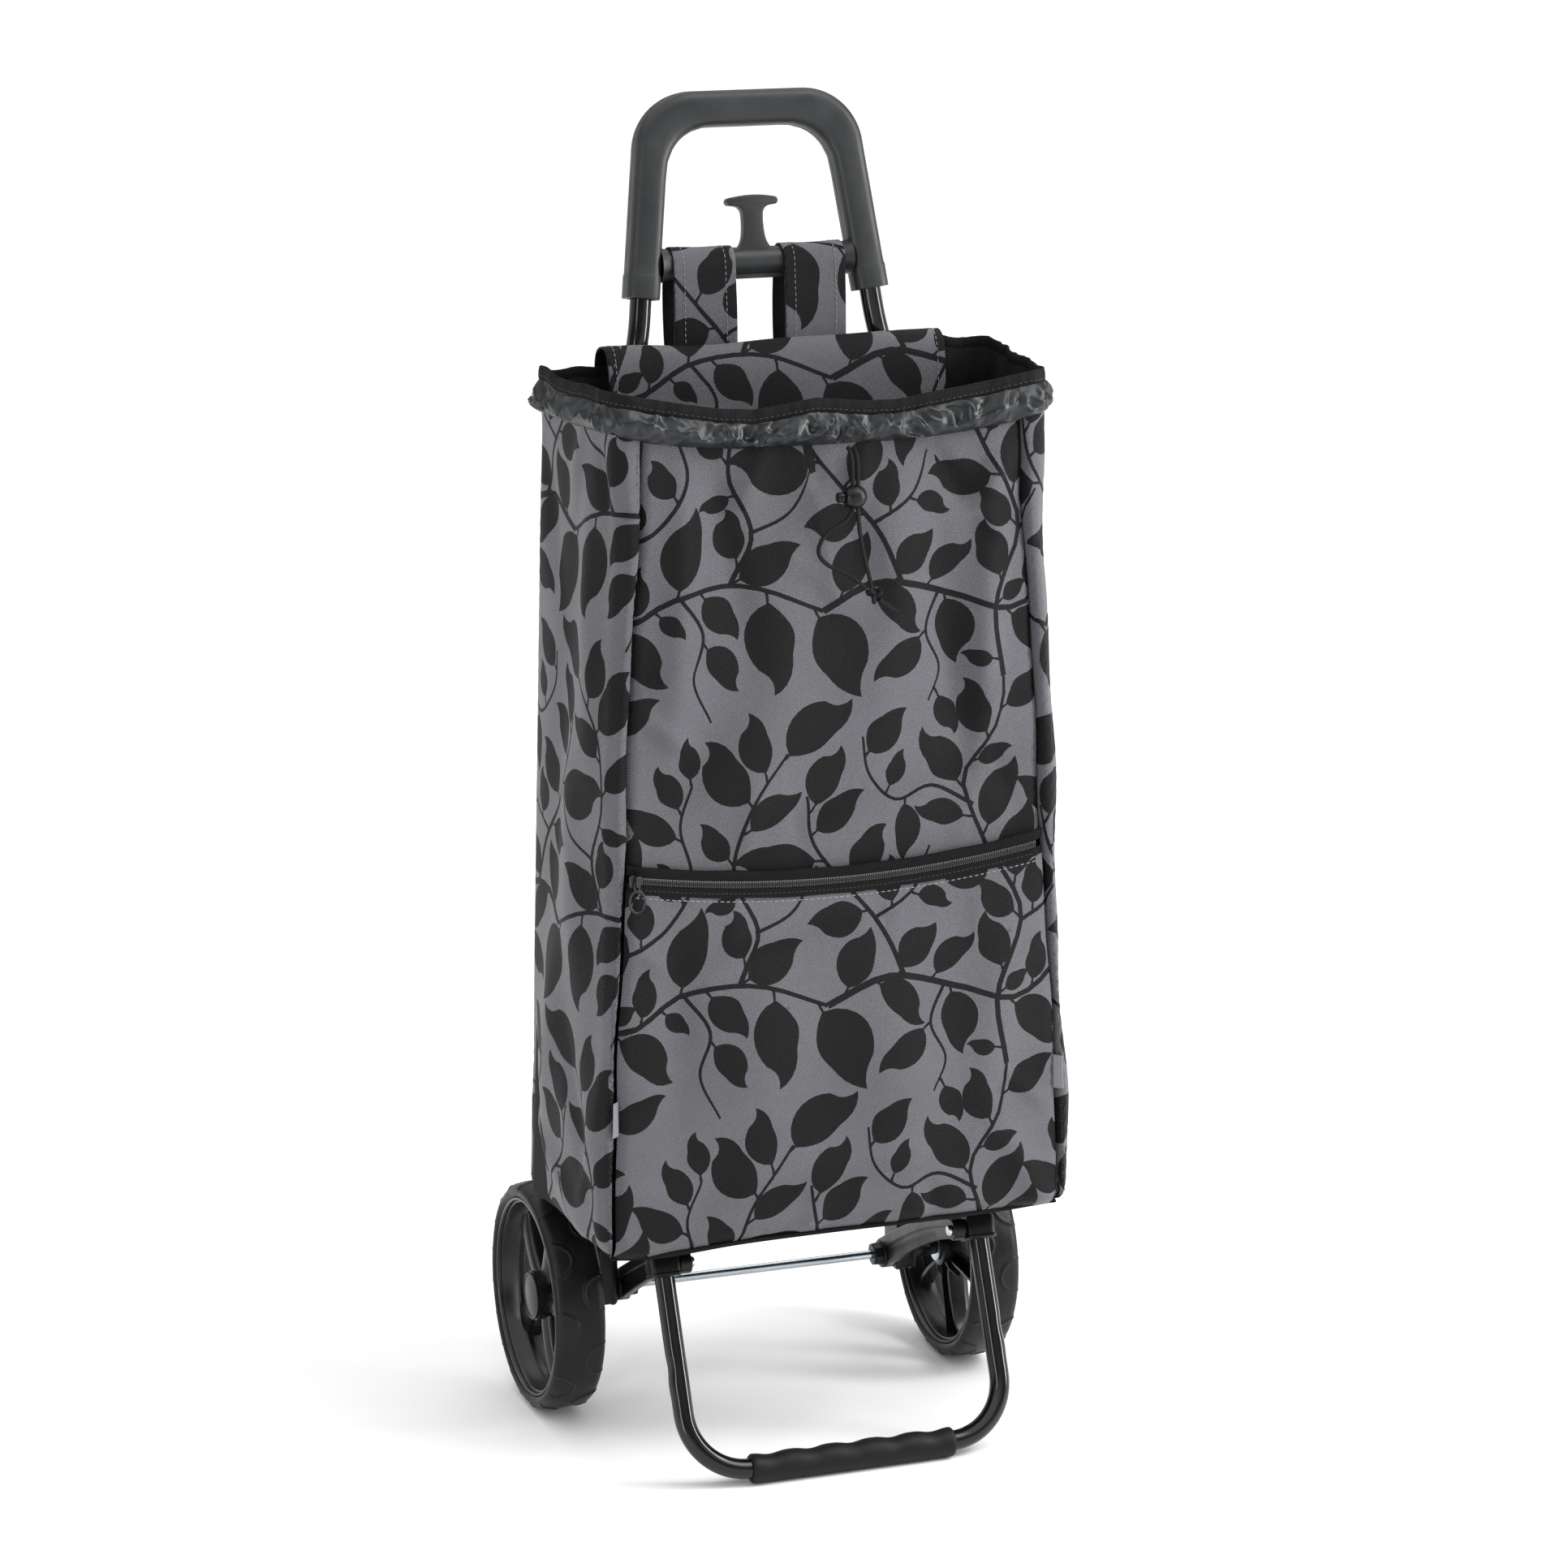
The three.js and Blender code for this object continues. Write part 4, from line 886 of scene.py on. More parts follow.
def add_mouth():
    line, out = mouth_loop()
    top = binding_top(line) - 8.0
    back = np.clip((line[:, 1] + 120) / 60, 0, 1)
    sway = np.array([2.0 * noise.noise(Vector((i / MOUTH_N * 16, 5.5, 0))) for i in range(MOUTH_N)])
    sway += back * np.array([7.0 * noise.noise(Vector((i / MOUTH_N * 34, 1.5, 3.0))) for i in range(MOUTH_N)])
    sway = (sway + np.roll(sway, 1) + np.roll(sway, -1)) / 3
    top = top + sway
    on_front = np.clip((-120 - line[:, 1]) / 40, 0, 1)
    base = cloth_top(line[:, 0]) * on_front + 774 * (1 - on_front)
    rows, uv, nv = [], [], 22
    tie = np.exp(-((line[:, 0] - 8.5) / 13.0) ** 2) * (line[:, 1] < -150)
    for j in range(nv):
        v = j / (nv - 1)
        belly = 8.5 * math.sin(math.pi * min(1.0, v * 0.92 + 0.06)) ** 0.75 - 2.0 + 3.0 * v
        z = base + (top - base) * v - 5.5 * math.sin(math.pi * v) ** 0.7 * (1 - v)
        g = np.array([gathers(i / MOUTH_N, v) for i in range(MOUTH_N)])
        g = g * (0.18 + 2.7 * math.sin(math.pi * (0.04 + 0.91 * v)))
        reach = belly * (1 - 0.5 * tie) + g
        row = np.zeros((MOUTH_N, 3))
        row[:, :2] = line + out * reach[:, None]
        row[:, 2] = z + 0.35 * g
        rows.append(row)
        uv += [(i * 1.98, v * 34) for i in range(MOUTH_N)]
    rim = rows[-1].copy()
    piece("mouth_collar_gathers", np.concatenate(rows), grid_faces(MOUTH_N, nv, wrap_u=True)[::-1], nylon,
          slot="black_nylon", nodes=["mouth_collar"], uv=uv, sharp=0)

    section = [(-1.2, -1.5), (1.2, -1.5), (1.6, 0.5), (1.5, 4.5), (0.9, 8.2), (0, 8.9), (-0.9, 8.2),
               (-1.5, 4.5), (-1.6, 0.5)]
    rings, uv = [], []
    for dx, dz in section:
        curl = np.array([0.9 * noise.noise(Vector((i / MOUTH_N * 60, dz / 9, 9.0))) for i in range(MOUTH_N)])
        ring = rim.copy()
        ring[:, :2] += out * (dx + curl * dz / 9)[:, None]
        ring[:, 2] += dz
        rings.append(ring)
        uv += [(i * 1.98, dz + dx * 2) for i in range(MOUTH_N)]
    piece("mouth_binding", np.concatenate(rings), grid_faces(MOUTH_N, len(section), wrap_u=True, wrap_v=True),
          black_tape, slot="black_tape", nodes=["collar_binding"], uv=uv, sharp=0)
    seam = rim.copy()
    seam[:, :2] += out * 1.75
    seam[:, 2] += 1.6
    v, f, t = stitches(np.vstack([seam, seam[:1]]), length=2.6, gap=1.8, radius=0.26)
    piece("binding_stitching", v, f, thread_dark, uv=t)

    # the inside of the collar and bag
    rows, uv = [], []
    for z, inset in ((None, 1.7), (786, 3.5), (768, 4.0), (700, 4.0), (500, 4.5), (300, 4.5), (184, 4.5)):
        if z is None:
            row = rim.copy()
            row[:, :2] -= out * inset
            row[:, 2] += 1.0
        elif z > BAG_TOP:
            row = np.zeros((MOUTH_N, 3))
            g = np.array([gathers(i / MOUTH_N, 0.4) for i in range(MOUTH_N)])
            row[:, :2] = line - out * (inset - g * 0.9)[:, None]
            row[:, 2] = np.minimum(z, rim[:, 2] - 2)
        else:
            grow = 1 + 0.13 * (1 - height(z))
            row = np.zeros((MOUTH_N, 3))
            row[:, 0] = (line[:, 0] - out[:, 0] * inset) * grow * (0.985 if z < 760 else 1)
            row[:, 1] = -97 + (line[:, 1] - out[:, 1] * inset + 97) * (1 + 0.13 * (1 - height(z)))
            row[:, 2] = z
        rows.append(row)
        uv += [(i * 1.98, row[i, 2]) for i in range(MOUTH_N)]
    piece("bag_lining", np.concatenate(rows), grid_faces(MOUTH_N, 7, wrap_u=True), lining_black,
          slot="black_nylon", uv=uv, sharp=0)


# ---- flap and straps -----------------------------------------------------------------------------

def band_sheet(name, route, x0, x1, shift, spacing, lift, thick, **given):
    """A printed strip of cloth that follows a route of (y, z) points; lift(u, s) bends it."""
    line = spline([(0, y, z) for y, z in route], 400)
    run = np.concatenate([[0], np.cumsum(np.linalg.norm(np.diff(line, axis=0), axis=1))])
    length = run[-1]
    outline = edge_line((x0, 0), (x1, 0), 5) + edge_line((x1, 0), (x1, length), 5)
    outline += edge_line((x1, length), (x0, length), 5) + edge_line((x0, length), (x0, 0), 5)
    flat, tris, printed = cut_cloth(outline, spacing, shift)
    tangent = np.gradient(line, axis=0)
    tangent /= np.linalg.norm(tangent, axis=1)[:, None]
    at = [np.interp(flat[:, 1], run, line[:, k]) for k in (1, 2)]
    t = [np.interp(flat[:, 1], run, tangent[:, k]) for k in (1, 2)]
    h = lift(flat[:, 0], flat[:, 1], length)
    verts = np.stack([flat[:, 0], at[0] - t[1] * h, at[1] + t[0] * h], axis=1)
    obj = piece(name, verts, tris, [printed_grey, printed_black, lining_black, lining_black],
                slot="printed_cloth", uv=flat, index=printed, sharp=0, **given)
    mod = obj.modifiers.new("thickness", "SOLIDIFY")
    mod.thickness, mod.offset = thick / 1000, -1
    mod.material_offset, mod.material_offset_rim = 2, 2
    return obj, length, (run, line, tangent)


def edge_stitches(name, shape, xs, lift, rows, body="frame", start=8.0, end=8.0, outside=0.25):
    run, line, tangent = shape
    parts = []
    for x in xs:
        s = np.arange(start, run[-1] - end, 3.0)
        h = lift(np.full_like(s, x), s, run[-1]) + outside
        y = np.interp(s, run, line[:, 1]) - np.interp(s, run, tangent[:, 2]) * h
        z = np.interp(s, run, line[:, 2]) + np.interp(s, run, tangent[:, 1]) * h
        parts.append(stitches(np.stack([np.full_like(s, x), y, z], axis=1), length=3.0, gap=1.4, radius=0.28))
    v, f, t = joined(*parts)
    return piece(name, v, f, rows, body=body, uv=t)


FLAP_ROUTE = [(-22, 776), (-22, 800), (-26.5, 812.5), (-38.6, 817.6), (-49, 815), (-56, 801), (-60.5, 775),
              (-64, 740), (-66, 702)]
FLAP_HALF = 131.0


def flap_lift(x, s, length):
    free = np.clip((s - 60) / 60, 0, 1)
    wave = 2.2 * np.sin(x / 41 + 0.6) * free - 3.0 * free * (x / FLAP_HALF) ** 2
    sag = -3.2 * np.exp(-((s - 46) / 26) ** 2) * np.clip((x - 20) / 110, 0, 1) ** 1.5
    dip = -1.2 * np.exp(-((s - 46) / 26) ** 2) * np.sin(x / 29)
    small = 0.5 * np.sin(x / 17 + s / 31) * np.clip(s / 40, 0, 1)
    return -(wave + small) + sag + dip


def add_flap():
    flap, length, shape = band_sheet("lid_flap_cloth", FLAP_ROUTE[::-1], -FLAP_HALF, FLAP_HALF, (40, 30), 5.0,
                                     lambda x, s, n: -flap_lift(x, n - s, n), 1.6, body=None,
                                     nodes=["lid_flap", "lid_flap_root"])
    start, end = place(((0, -30, 817), (0, -50, 817)))
    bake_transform(flap)
    marks = edge_stitches("lid_flap_stitching", shape, (-FLAP_HALF + 6, FLAP_HALF - 6),
                          lambda x, s, n: -flap_lift(x, n - s, n), thread, body=None, start=10, end=30)
    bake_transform(marks)


def strap_route():
    lean = math.radians(9.86)
    y0, z0 = -6.3 + 24 * math.sin(lean), 847 + 24 * math.cos(lean)
    over = [(y0 + 12.6 * math.cos(a), z0 + 12.6 * math.sin(a)) for a in np.linspace(math.pi, 0, 9)]
    return ([(-18.6, 740), (-17.6, 770), (-17.6, 800), (-17.2, 838), (-15.6, 858)] + over
            + [(10.8, 856), (11.4, 842), (10.6, 824), (8, 806), (2, 788), (-4, 772), (-15, 748), (-16, 738)])


def add_straps():
    for side, sign in (("left", -1), ("right", 1)):
        cx = sign * 43
        lift = lambda x, s, n, c=cx, g=sign: (0.9 * np.sin((s + 30 * g) / 27.0)
                                              * np.clip(np.abs(s - n * 0.45) / 40, 0, 1)
                                              * ((x - c) / 24) - 0.5 * np.cos(math.pi * (x - c) / 24) * 0.6)
        _, _, shape = band_sheet(f"strap_{side}_webbing", strap_route(), cx - 24, cx + 24,
                                 (70 * sign, 20 + 60 * sign),
                                        3.6, lift, 1.3, nodes=[f"strap_{side}"])
        edge_stitches(f"strap_{side}_stitching", shape, (cx - 16, cx + 16), lift, thread)


# ---- drawcord ------------------------------------------------------------------------------------

CORD_D = 3.0
LOCK = (8.6, -187.6, 725.0)
KNOT = (22.6, -190.0, 653.5)

STRAIGHT = [(10.6, -178.6, 759), (10.6, -183.5, 755.5), (10.6, -187, 749.5), (10.6, -187.6, 740),
            (10.6, -187.6, 730), (10.6, -187.6, 716), (12, -188.2, 700), (14.6, -189, 684),
            (18.4, -190, 668), (20.6, -190, 658.4)]
LOOP = [(6.6, -178.6, 759), (6.6, -183.5, 755.5), (6.6, -187, 749.5), (6.6, -187.6, 740),
        (6.6, -187.6, 730), (6.6, -187.6, 716), (1, -188, 708), (-10, -188, 702), (-17.5, -188, 694),
        (-18.8, -188, 685), (-12, -188, 677), (0, -188.6, 671), (9, -190, 665), (16.2, -190, 658.2)]
TAIL = [(26.4, -190, 650.0), (30, -189.6, 647.2), (33, -189, 645), (38, -188, 641.5), (42, -187.6, 639.3)]


def braided(line, diameter=CORD_D, around=16):
    """A round cord with the small plaited bumps of a braid."""
    line = np.asarray(line, float)
    run = np.concatenate([[0], np.cumsum(np.linalg.norm(np.diff(line, axis=0), axis=1))])

    def radius(share, angle):
        s = share * run[-1]
        plait = np.abs(np.sin(angle * 3 + s * 1.9)) * 0.5 + np.abs(np.sin(angle * 3 - s * 1.9)) * 0.5
        return diameter / 2 * (0.97 + 0.1 * plait)
    return tube(line, radius, around)


def add_drawcord():
    knot_line = []
    for k in range(90):
        a = 2 * math.pi * k / 90
        knot_line.append((KNOT[0] + 2.6 * (math.sin(a) + 1.1 * math.sin(2 * a)),
                          KNOT[1] - 1.8 * math.sin(3 * a),
                          KNOT[2] + 2.5 * (math.cos(a) - 1.1 * math.cos(2 * a))))
    knot_line.append(knot_line[0])
    v, f, t = braided(np.array(knot_line), 3.1, 12)
    knot = piece("cord_knot_tied", v, f, braid, slot="cord", nodes=["cord_knot"], uv=t, sharp=0)

    tail = braided(spline(TAIL, 26), 3.3, 14)
    rng = random.Random(5)
    ends = []
    for _ in range(16):
        a, r = rng.uniform(0, 6.28), rng.uniform(0.2, 1.2)
        p = np.array(TAIL[-1]) + (-0.8, math.cos(a) * r, math.sin(a) * r)
        out = np.array((rng.uniform(1.6, 3.4), math.cos(a) * rng.uniform(0, 1.4),
                        -1.2 + math.sin(a) * rng.uniform(0, 1.6)))
        ends.append(tube(spline([p, p + out * 0.5, p + out + (0, 0, -0.3)], 5), 0.16, 5))
    v, f, t = joined(tail, *ends)
    tail_piece = piece("cord_tail_frayed", v, f, braid, slot="cord", nodes=["drawcord_tail"], uv=t, sharp=0)

    # the lock: a round body with a flat band, and its push button on the left
    x, y, z = LOCK
    body = lathe_x([(-7.9, 4.2), (-7.9, 5.6), (-7.2, 6.5), (-5.6, 7.4), (-4.4, 7.5), (-4.2, 7.9), (-2.5, 8.3),
                    (0, 8.5), (2.6, 8.1), (5.0, 6.9), (6.9, 5.0), (8.0, 2.9), (8.45, 1.0), (8.5, 0.01)], 36)
    well = lathe_x([(-7.9, 4.2), (-3.7, 4.15), (-3.7, 0.01)], 36)
    v, f, t = joined(body, well)
    lock = piece("cord_lock_round", v + (x, y, z), f, black_plastic, body="cord_lock", slot="black_plastic",
                 nodes=["cord_lock_body"], uv=t, sharp=35)
    v, f, t = lathe_x([(-14.0, 0.01), (-14.0, 2.6), (-13.5, 3.4), (-12.6, 3.75), (-7.6, 3.75), (-7.0, 3.4)],
                      28)
    button = piece("cord_lock_push", v + (x, y, z), f, black_plastic, body="lock_button",
                   slot="black_plastic",
                   nodes=["cord_lock_button"], uv=t, sharp=35)

    for name, points, cad in (("cord_strand_straight", STRAIGHT, "drawcord_straight"),
                              ("cord_strand_loop", LOOP, "drawcord_loop")):
        line = spline(points, 150)
        v, f, t = braided(line)
        strand = piece(name, v, f, braid, slot="cord", nodes=[cad], uv=t, sharp=0)
        path = place(line)


add_drawcord()
add_front()
add_gussets()
add_back_and_base()
add_mouth()
add_flap()
add_straps()


# ---- zip -------------------------------------------------------------------------------------------

def zip_y(x, z):
    """The zip lies on the front, swelling forward a little with the pocket."""
    u = np.clip(np.abs(x) / ZIP_HALF_X, 0, 1)
    return front_y(z) - 3.2 - 1.2 * (1 - u ** 3) + 3.6 * np.exp(-((1 - u) * ZIP_HALF_X / 5.0) ** 2)


def add_zip():
    n = 120
    x = np.linspace(-ZIP_HALF_X + 0.4, ZIP_HALF_X - 0.4, n)
    for name, rows, cad in (
        ("zip_tape_top", [(10.4, 0.6), (10.0, -0.9), (9.0, -1.7), (5.4, -0.9), (2.9, -0.6), (2.7, 0.4)],
         "zip_tape_upper"),
        ("zip_tape_bottom", [(-2.7, 0.4), (-2.9, -0.5), (-5.4, -0.6), (-8.4, -1.2), (-9.6, -1.2), (-10.2,
                                                                                                   1.0)],
         "zip_tape_lower"),
    ):
        verts, uv = [], []
        for dz, dy in rows:
            ripple = 0.25 * np.sin(x / 9.0 + dz)
            zz = zip_z(x) + dz + ripple * (abs(dz) > 9)
            verts.append(np.stack([x, zip_y(x, zip_z(x)) + dy, zz], axis=1))
            uv += [(a, dz) for a in x]
        piece(name, np.concatenate(verts), grid_faces(n, len(rows))[::-1], zip_tape, slot="black_tape",
              nodes=[cad], uv=uv, sharp=50)
    seam = np.stack([x[3:-3], zip_y(x, zip_z(x))[3:-3] - 0.75, zip_z(x)[3:-3] + 6.4], axis=1)
    low = seam.copy()
    low[:, 2] -= 12.8
    v, f, t = joined(stitches(seam, 2.2, 1.2, 0.2), stitches(low, 2.2, 1.2, 0.2))
    piece("zip_stitching", v, f, thread_dark, uv=t)

    parts = []
    pitch = 1.45
    for k in range(int((2 * ZIP_HALF_X - 10) / pitch)):
        cx = -ZIP_HALF_X + 5 + k * pitch
        cz = float(zip_z(np.array(cx)))
        cy = float(zip_y(np.array(cx), cz))
        lean = 2 * ZIP_SAG * cx / ZIP_HALF_X ** 2
        for sign in (-1, 1):
            outline = [(-0.52, 0.15), (-0.36, -0.85), (0.36, -0.85), (0.52, 0.15)]
            verts, faces = [], []
            for dz in (0.15, 2.0, 2.7):
                drop = 0.0 if dz < 2.5 else 0.6
                verts += [(cx + ax + 0.3 * sign * (dz < 1), cy + ay + drop, cz + lean * ax + sign * dz)
                          for ax, ay in outline]
            for r in (0, 1):
                faces += [(r * 4 + i, r * 4 + (i + 1) % 4, r * 4 + 4 + (i + 1) % 4,
                           r * 4 + 4 + i) for i in range(4)]
            faces += [(0, 3, 2, 1), (8, 9, 10, 11)]
            if sign < 0:
                faces = [q[::-1] for q in faces]
            parts.append((np.array(verts), faces, np.array([(a[0], a[2]) for a in verts])))
    v, f, t = joined(*parts)
    v[:, 1] -= 0.35
    piece("zip_coil_teeth", v, f, zip_plastic, slot="black_plastic", nodes=["zip_coil"], uv=t, sharp=40)

    lo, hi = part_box("zip_slider")
    cx, cz = (lo.x + hi.x) * 500, (lo.z + hi.z) * 500
    y0, y1 = (lo.y - AXLE_Y) * 1000, (hi.y - AXLE_Y) * 1000
    plate = [(cx - 5.2, cz - 3.4), (cx - 3.4, cz - 4.7), (cx + 3.6, cz - 3.6), (cx + 5.2, cz - 1.6),
             (cx + 5.2, cz + 1.6),
             (cx + 3.6, cz + 3.6), (cx - 3.4, cz + 4.7), (cx - 5.2, cz + 3.4)]
    base = shifted(extruded(plate, 2.4), dy=y1 - 1.3)
    bridge = [(y1 - 2.0, cz - 4.2), (y0 + 1.2, cz - 4.2), (y0 + 0.1, cz - 3.2), (y0 + 0.1, cz + 3.2),
              (y0 + 1.2, cz + 4.2),
              (y1 - 2.0, cz + 4.2), (y1 - 2.0, cz + 2.9), (y0 + 1.5, cz + 2.9), (y0 + 1.5, cz - 2.9),
              (y1 - 2.0, cz - 2.9)]
    n = len(bridge)
    verts = [(cx - 1.3, y, z) for y, z in bridge] + [(cx + 1.3, y, z) for y, z in bridge]
    faces = [tuple(range(n)), tuple(range(n, 2 * n))[::-1]] + [(i, i + n, (i + 1) % n + n,
                                                                (i + 1) % n) for i in range(n)]
    v, f, t = joined(base, (np.array(verts), faces, np.array([(a[1], a[2]) for a in verts])))
    bevelled(piece("zip_slider_body", v, f, zip_metal, body="slider", slot="zip_metal",
                   nodes=["zip_slider"], uv=t), 0.5)

    lo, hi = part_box("zip_puller")
    px = (lo.x + hi.x) * 500
    py = ((lo.y + hi.y) / 2 - AXLE_Y) * 1000
    top = hi.z * 1000
    ring = [(px + 5.6 * math.sin(a), py - 0.4 + 0.5 * math.cos(a), top - 15.4 + 8.0 * math.cos(a))
            for a in np.linspace(0, 2 * math.pi, 65)]
    link = [(px + 1.9 * math.sin(a), py, top - 4.4 + 4.0 * math.cos(a)) for a in np.linspace(0, 2 * math.pi,
                                                                                             41)]
    v, f, t = joined(tube(np.array(ring), 0.95, 14), tube(np.array(link), 0.75, 10))
    piece("zip_puller_ring", v, f, zip_metal, body="puller", slot="zip_metal", nodes=["zip_puller"], uv=t,
          sharp=0)


def add_labels():
    for side, sign in (("left", -1), ("right", 1)):
        z = np.linspace(268.5, 294, 10)
        rows, uv = [], []
        for u, thick in [(-1.0, 0.5), (3.0, 0.5), (6.6, 0.45), (7.1, 0.0), (6.6, -0.45), (3.0, -0.5),
                         (-1.0, -0.5)]:
            bend = 0.5 * np.sin((z - 268) / 9 + u * 0.3)
            x = seam_x(z) - 0.6 + (u + thick) * 0.71 + bend * 0.3
            rows.append(np.stack([sign * x, front_y(z) - 2.4 - (u - thick) * 0.66 + bend * 0.3, z], axis=1))
            uv += [(u, b) for b in z]
        faces = grid_faces(10, 7)
        piece(f"label_{side}", np.concatenate(rows), faces, label_cloth, slot="label_cloth",
              nodes=[f"label_tab_{side}"], uv=uv, sharp=0)


add_zip()
add_labels()


# ---- handle, crossbar and hook -----------------------------------------------------------------------

LEAN = math.radians(9.86)
LEG_X, LEG_TAPER, HANDLE_TOP, BEND_R, HALF, INNER_R = 89.85, 0.1266, 137.0, 33.0, 12.5, 36.0


def in_handle(points):
    """From the handle's own leaning plane (x, depth, up) to the trolley."""
    p = np.asarray(points, float)
    y = p[:, 1] * math.cos(LEAN) + p[:, 2] * math.sin(LEAN)
    z = p[:, 2] * math.cos(LEAN) - p[:, 1] * math.sin(LEAN)
    return np.stack([p[:, 0], y - 6.3, z + 847], axis=1)


def handle_stations():
    """(x, up, angle, inner half width, outer half width, half depth) along the handle."""
    leg = math.pi / 2 - math.atan(LEG_TAPER)
    top_x = LEG_X - LEG_TAPER * HANDLE_TOP
    tangent = BEND_R * math.tan(leg / 2)
    leg_up = HANDLE_TOP - tangent * math.sin(leg)
    rows = []
    for up in [0, 0.6, 1.6, 16.0, 17.2, 18.4, 30, 50] + list(np.linspace(60, leg_up - 8, 4)):
        collar = 0.55 if 0.3 < up < 16.5 else (0.25 if up < 17.5 else 0.0)
        rows.append((-LEG_X + LEG_TAPER * up, up, leg, HALF + collar, HALF + collar, HALF + collar - 0.2))
    cx, cz = -top_x + tangent, HANDLE_TOP - BEND_R
    for a in np.linspace(1, 0, 22):
        rows.append((cx - BEND_R * math.sin(leg * a), cz + BEND_R * math.cos(leg * a), leg * a, HALF, HALF,
                     HALF))
    left = rows + [(x, HANDLE_TOP, 0.0, HALF, HALF, HALF) for x in (cx * 0.8, cx * 0.6, cx * 0.4, cx * 0.2,
                                                                    cx * 0.07)]

    # the inner edge is a wider curve than the outer one: an arc between leg and top
    under = HANDLE_TOP - HALF - 1.6
    edge_at = lambda up: -LEG_X + LEG_TAPER * up + HALF / math.cos(math.atan(LEG_TAPER))
    meet = (edge_at(under), under)
    cut = INNER_R * math.tan(leg / 2)
    mid = (meet[0] + cut, under - INNER_R)
    inner = [(edge_at(up), up) for up in np.linspace(-20, under - cut * math.sin(leg), 60)]
    inner += [(mid[0] - INNER_R * math.sin(leg * a),
               mid[1] + INNER_R * math.cos(leg * a)) for a in np.linspace(1, 0, 60)]
    inner += [(x, under) for x in np.linspace(mid[0], 0, 20)]
    inner = np.array(inner)

    def reach(x, up, angle):
        d = np.array((math.sin(angle), -math.cos(angle)))
        away = inner - (x, up)
        along, off = away @ d, np.abs(away @ np.array((d[1], -d[0])))
        ahead = np.where(along > 4, off, 1e9)
        return float(along[np.argmin(ahead)])
    left = [(x, up, a, reach(x, up, a) + (i - HALF), o, d) for x, up, a, i, o, d in left]
    return left + [(-x, up, -a, i, o, d) for x, up, a, i, o, d in left[::-1]]


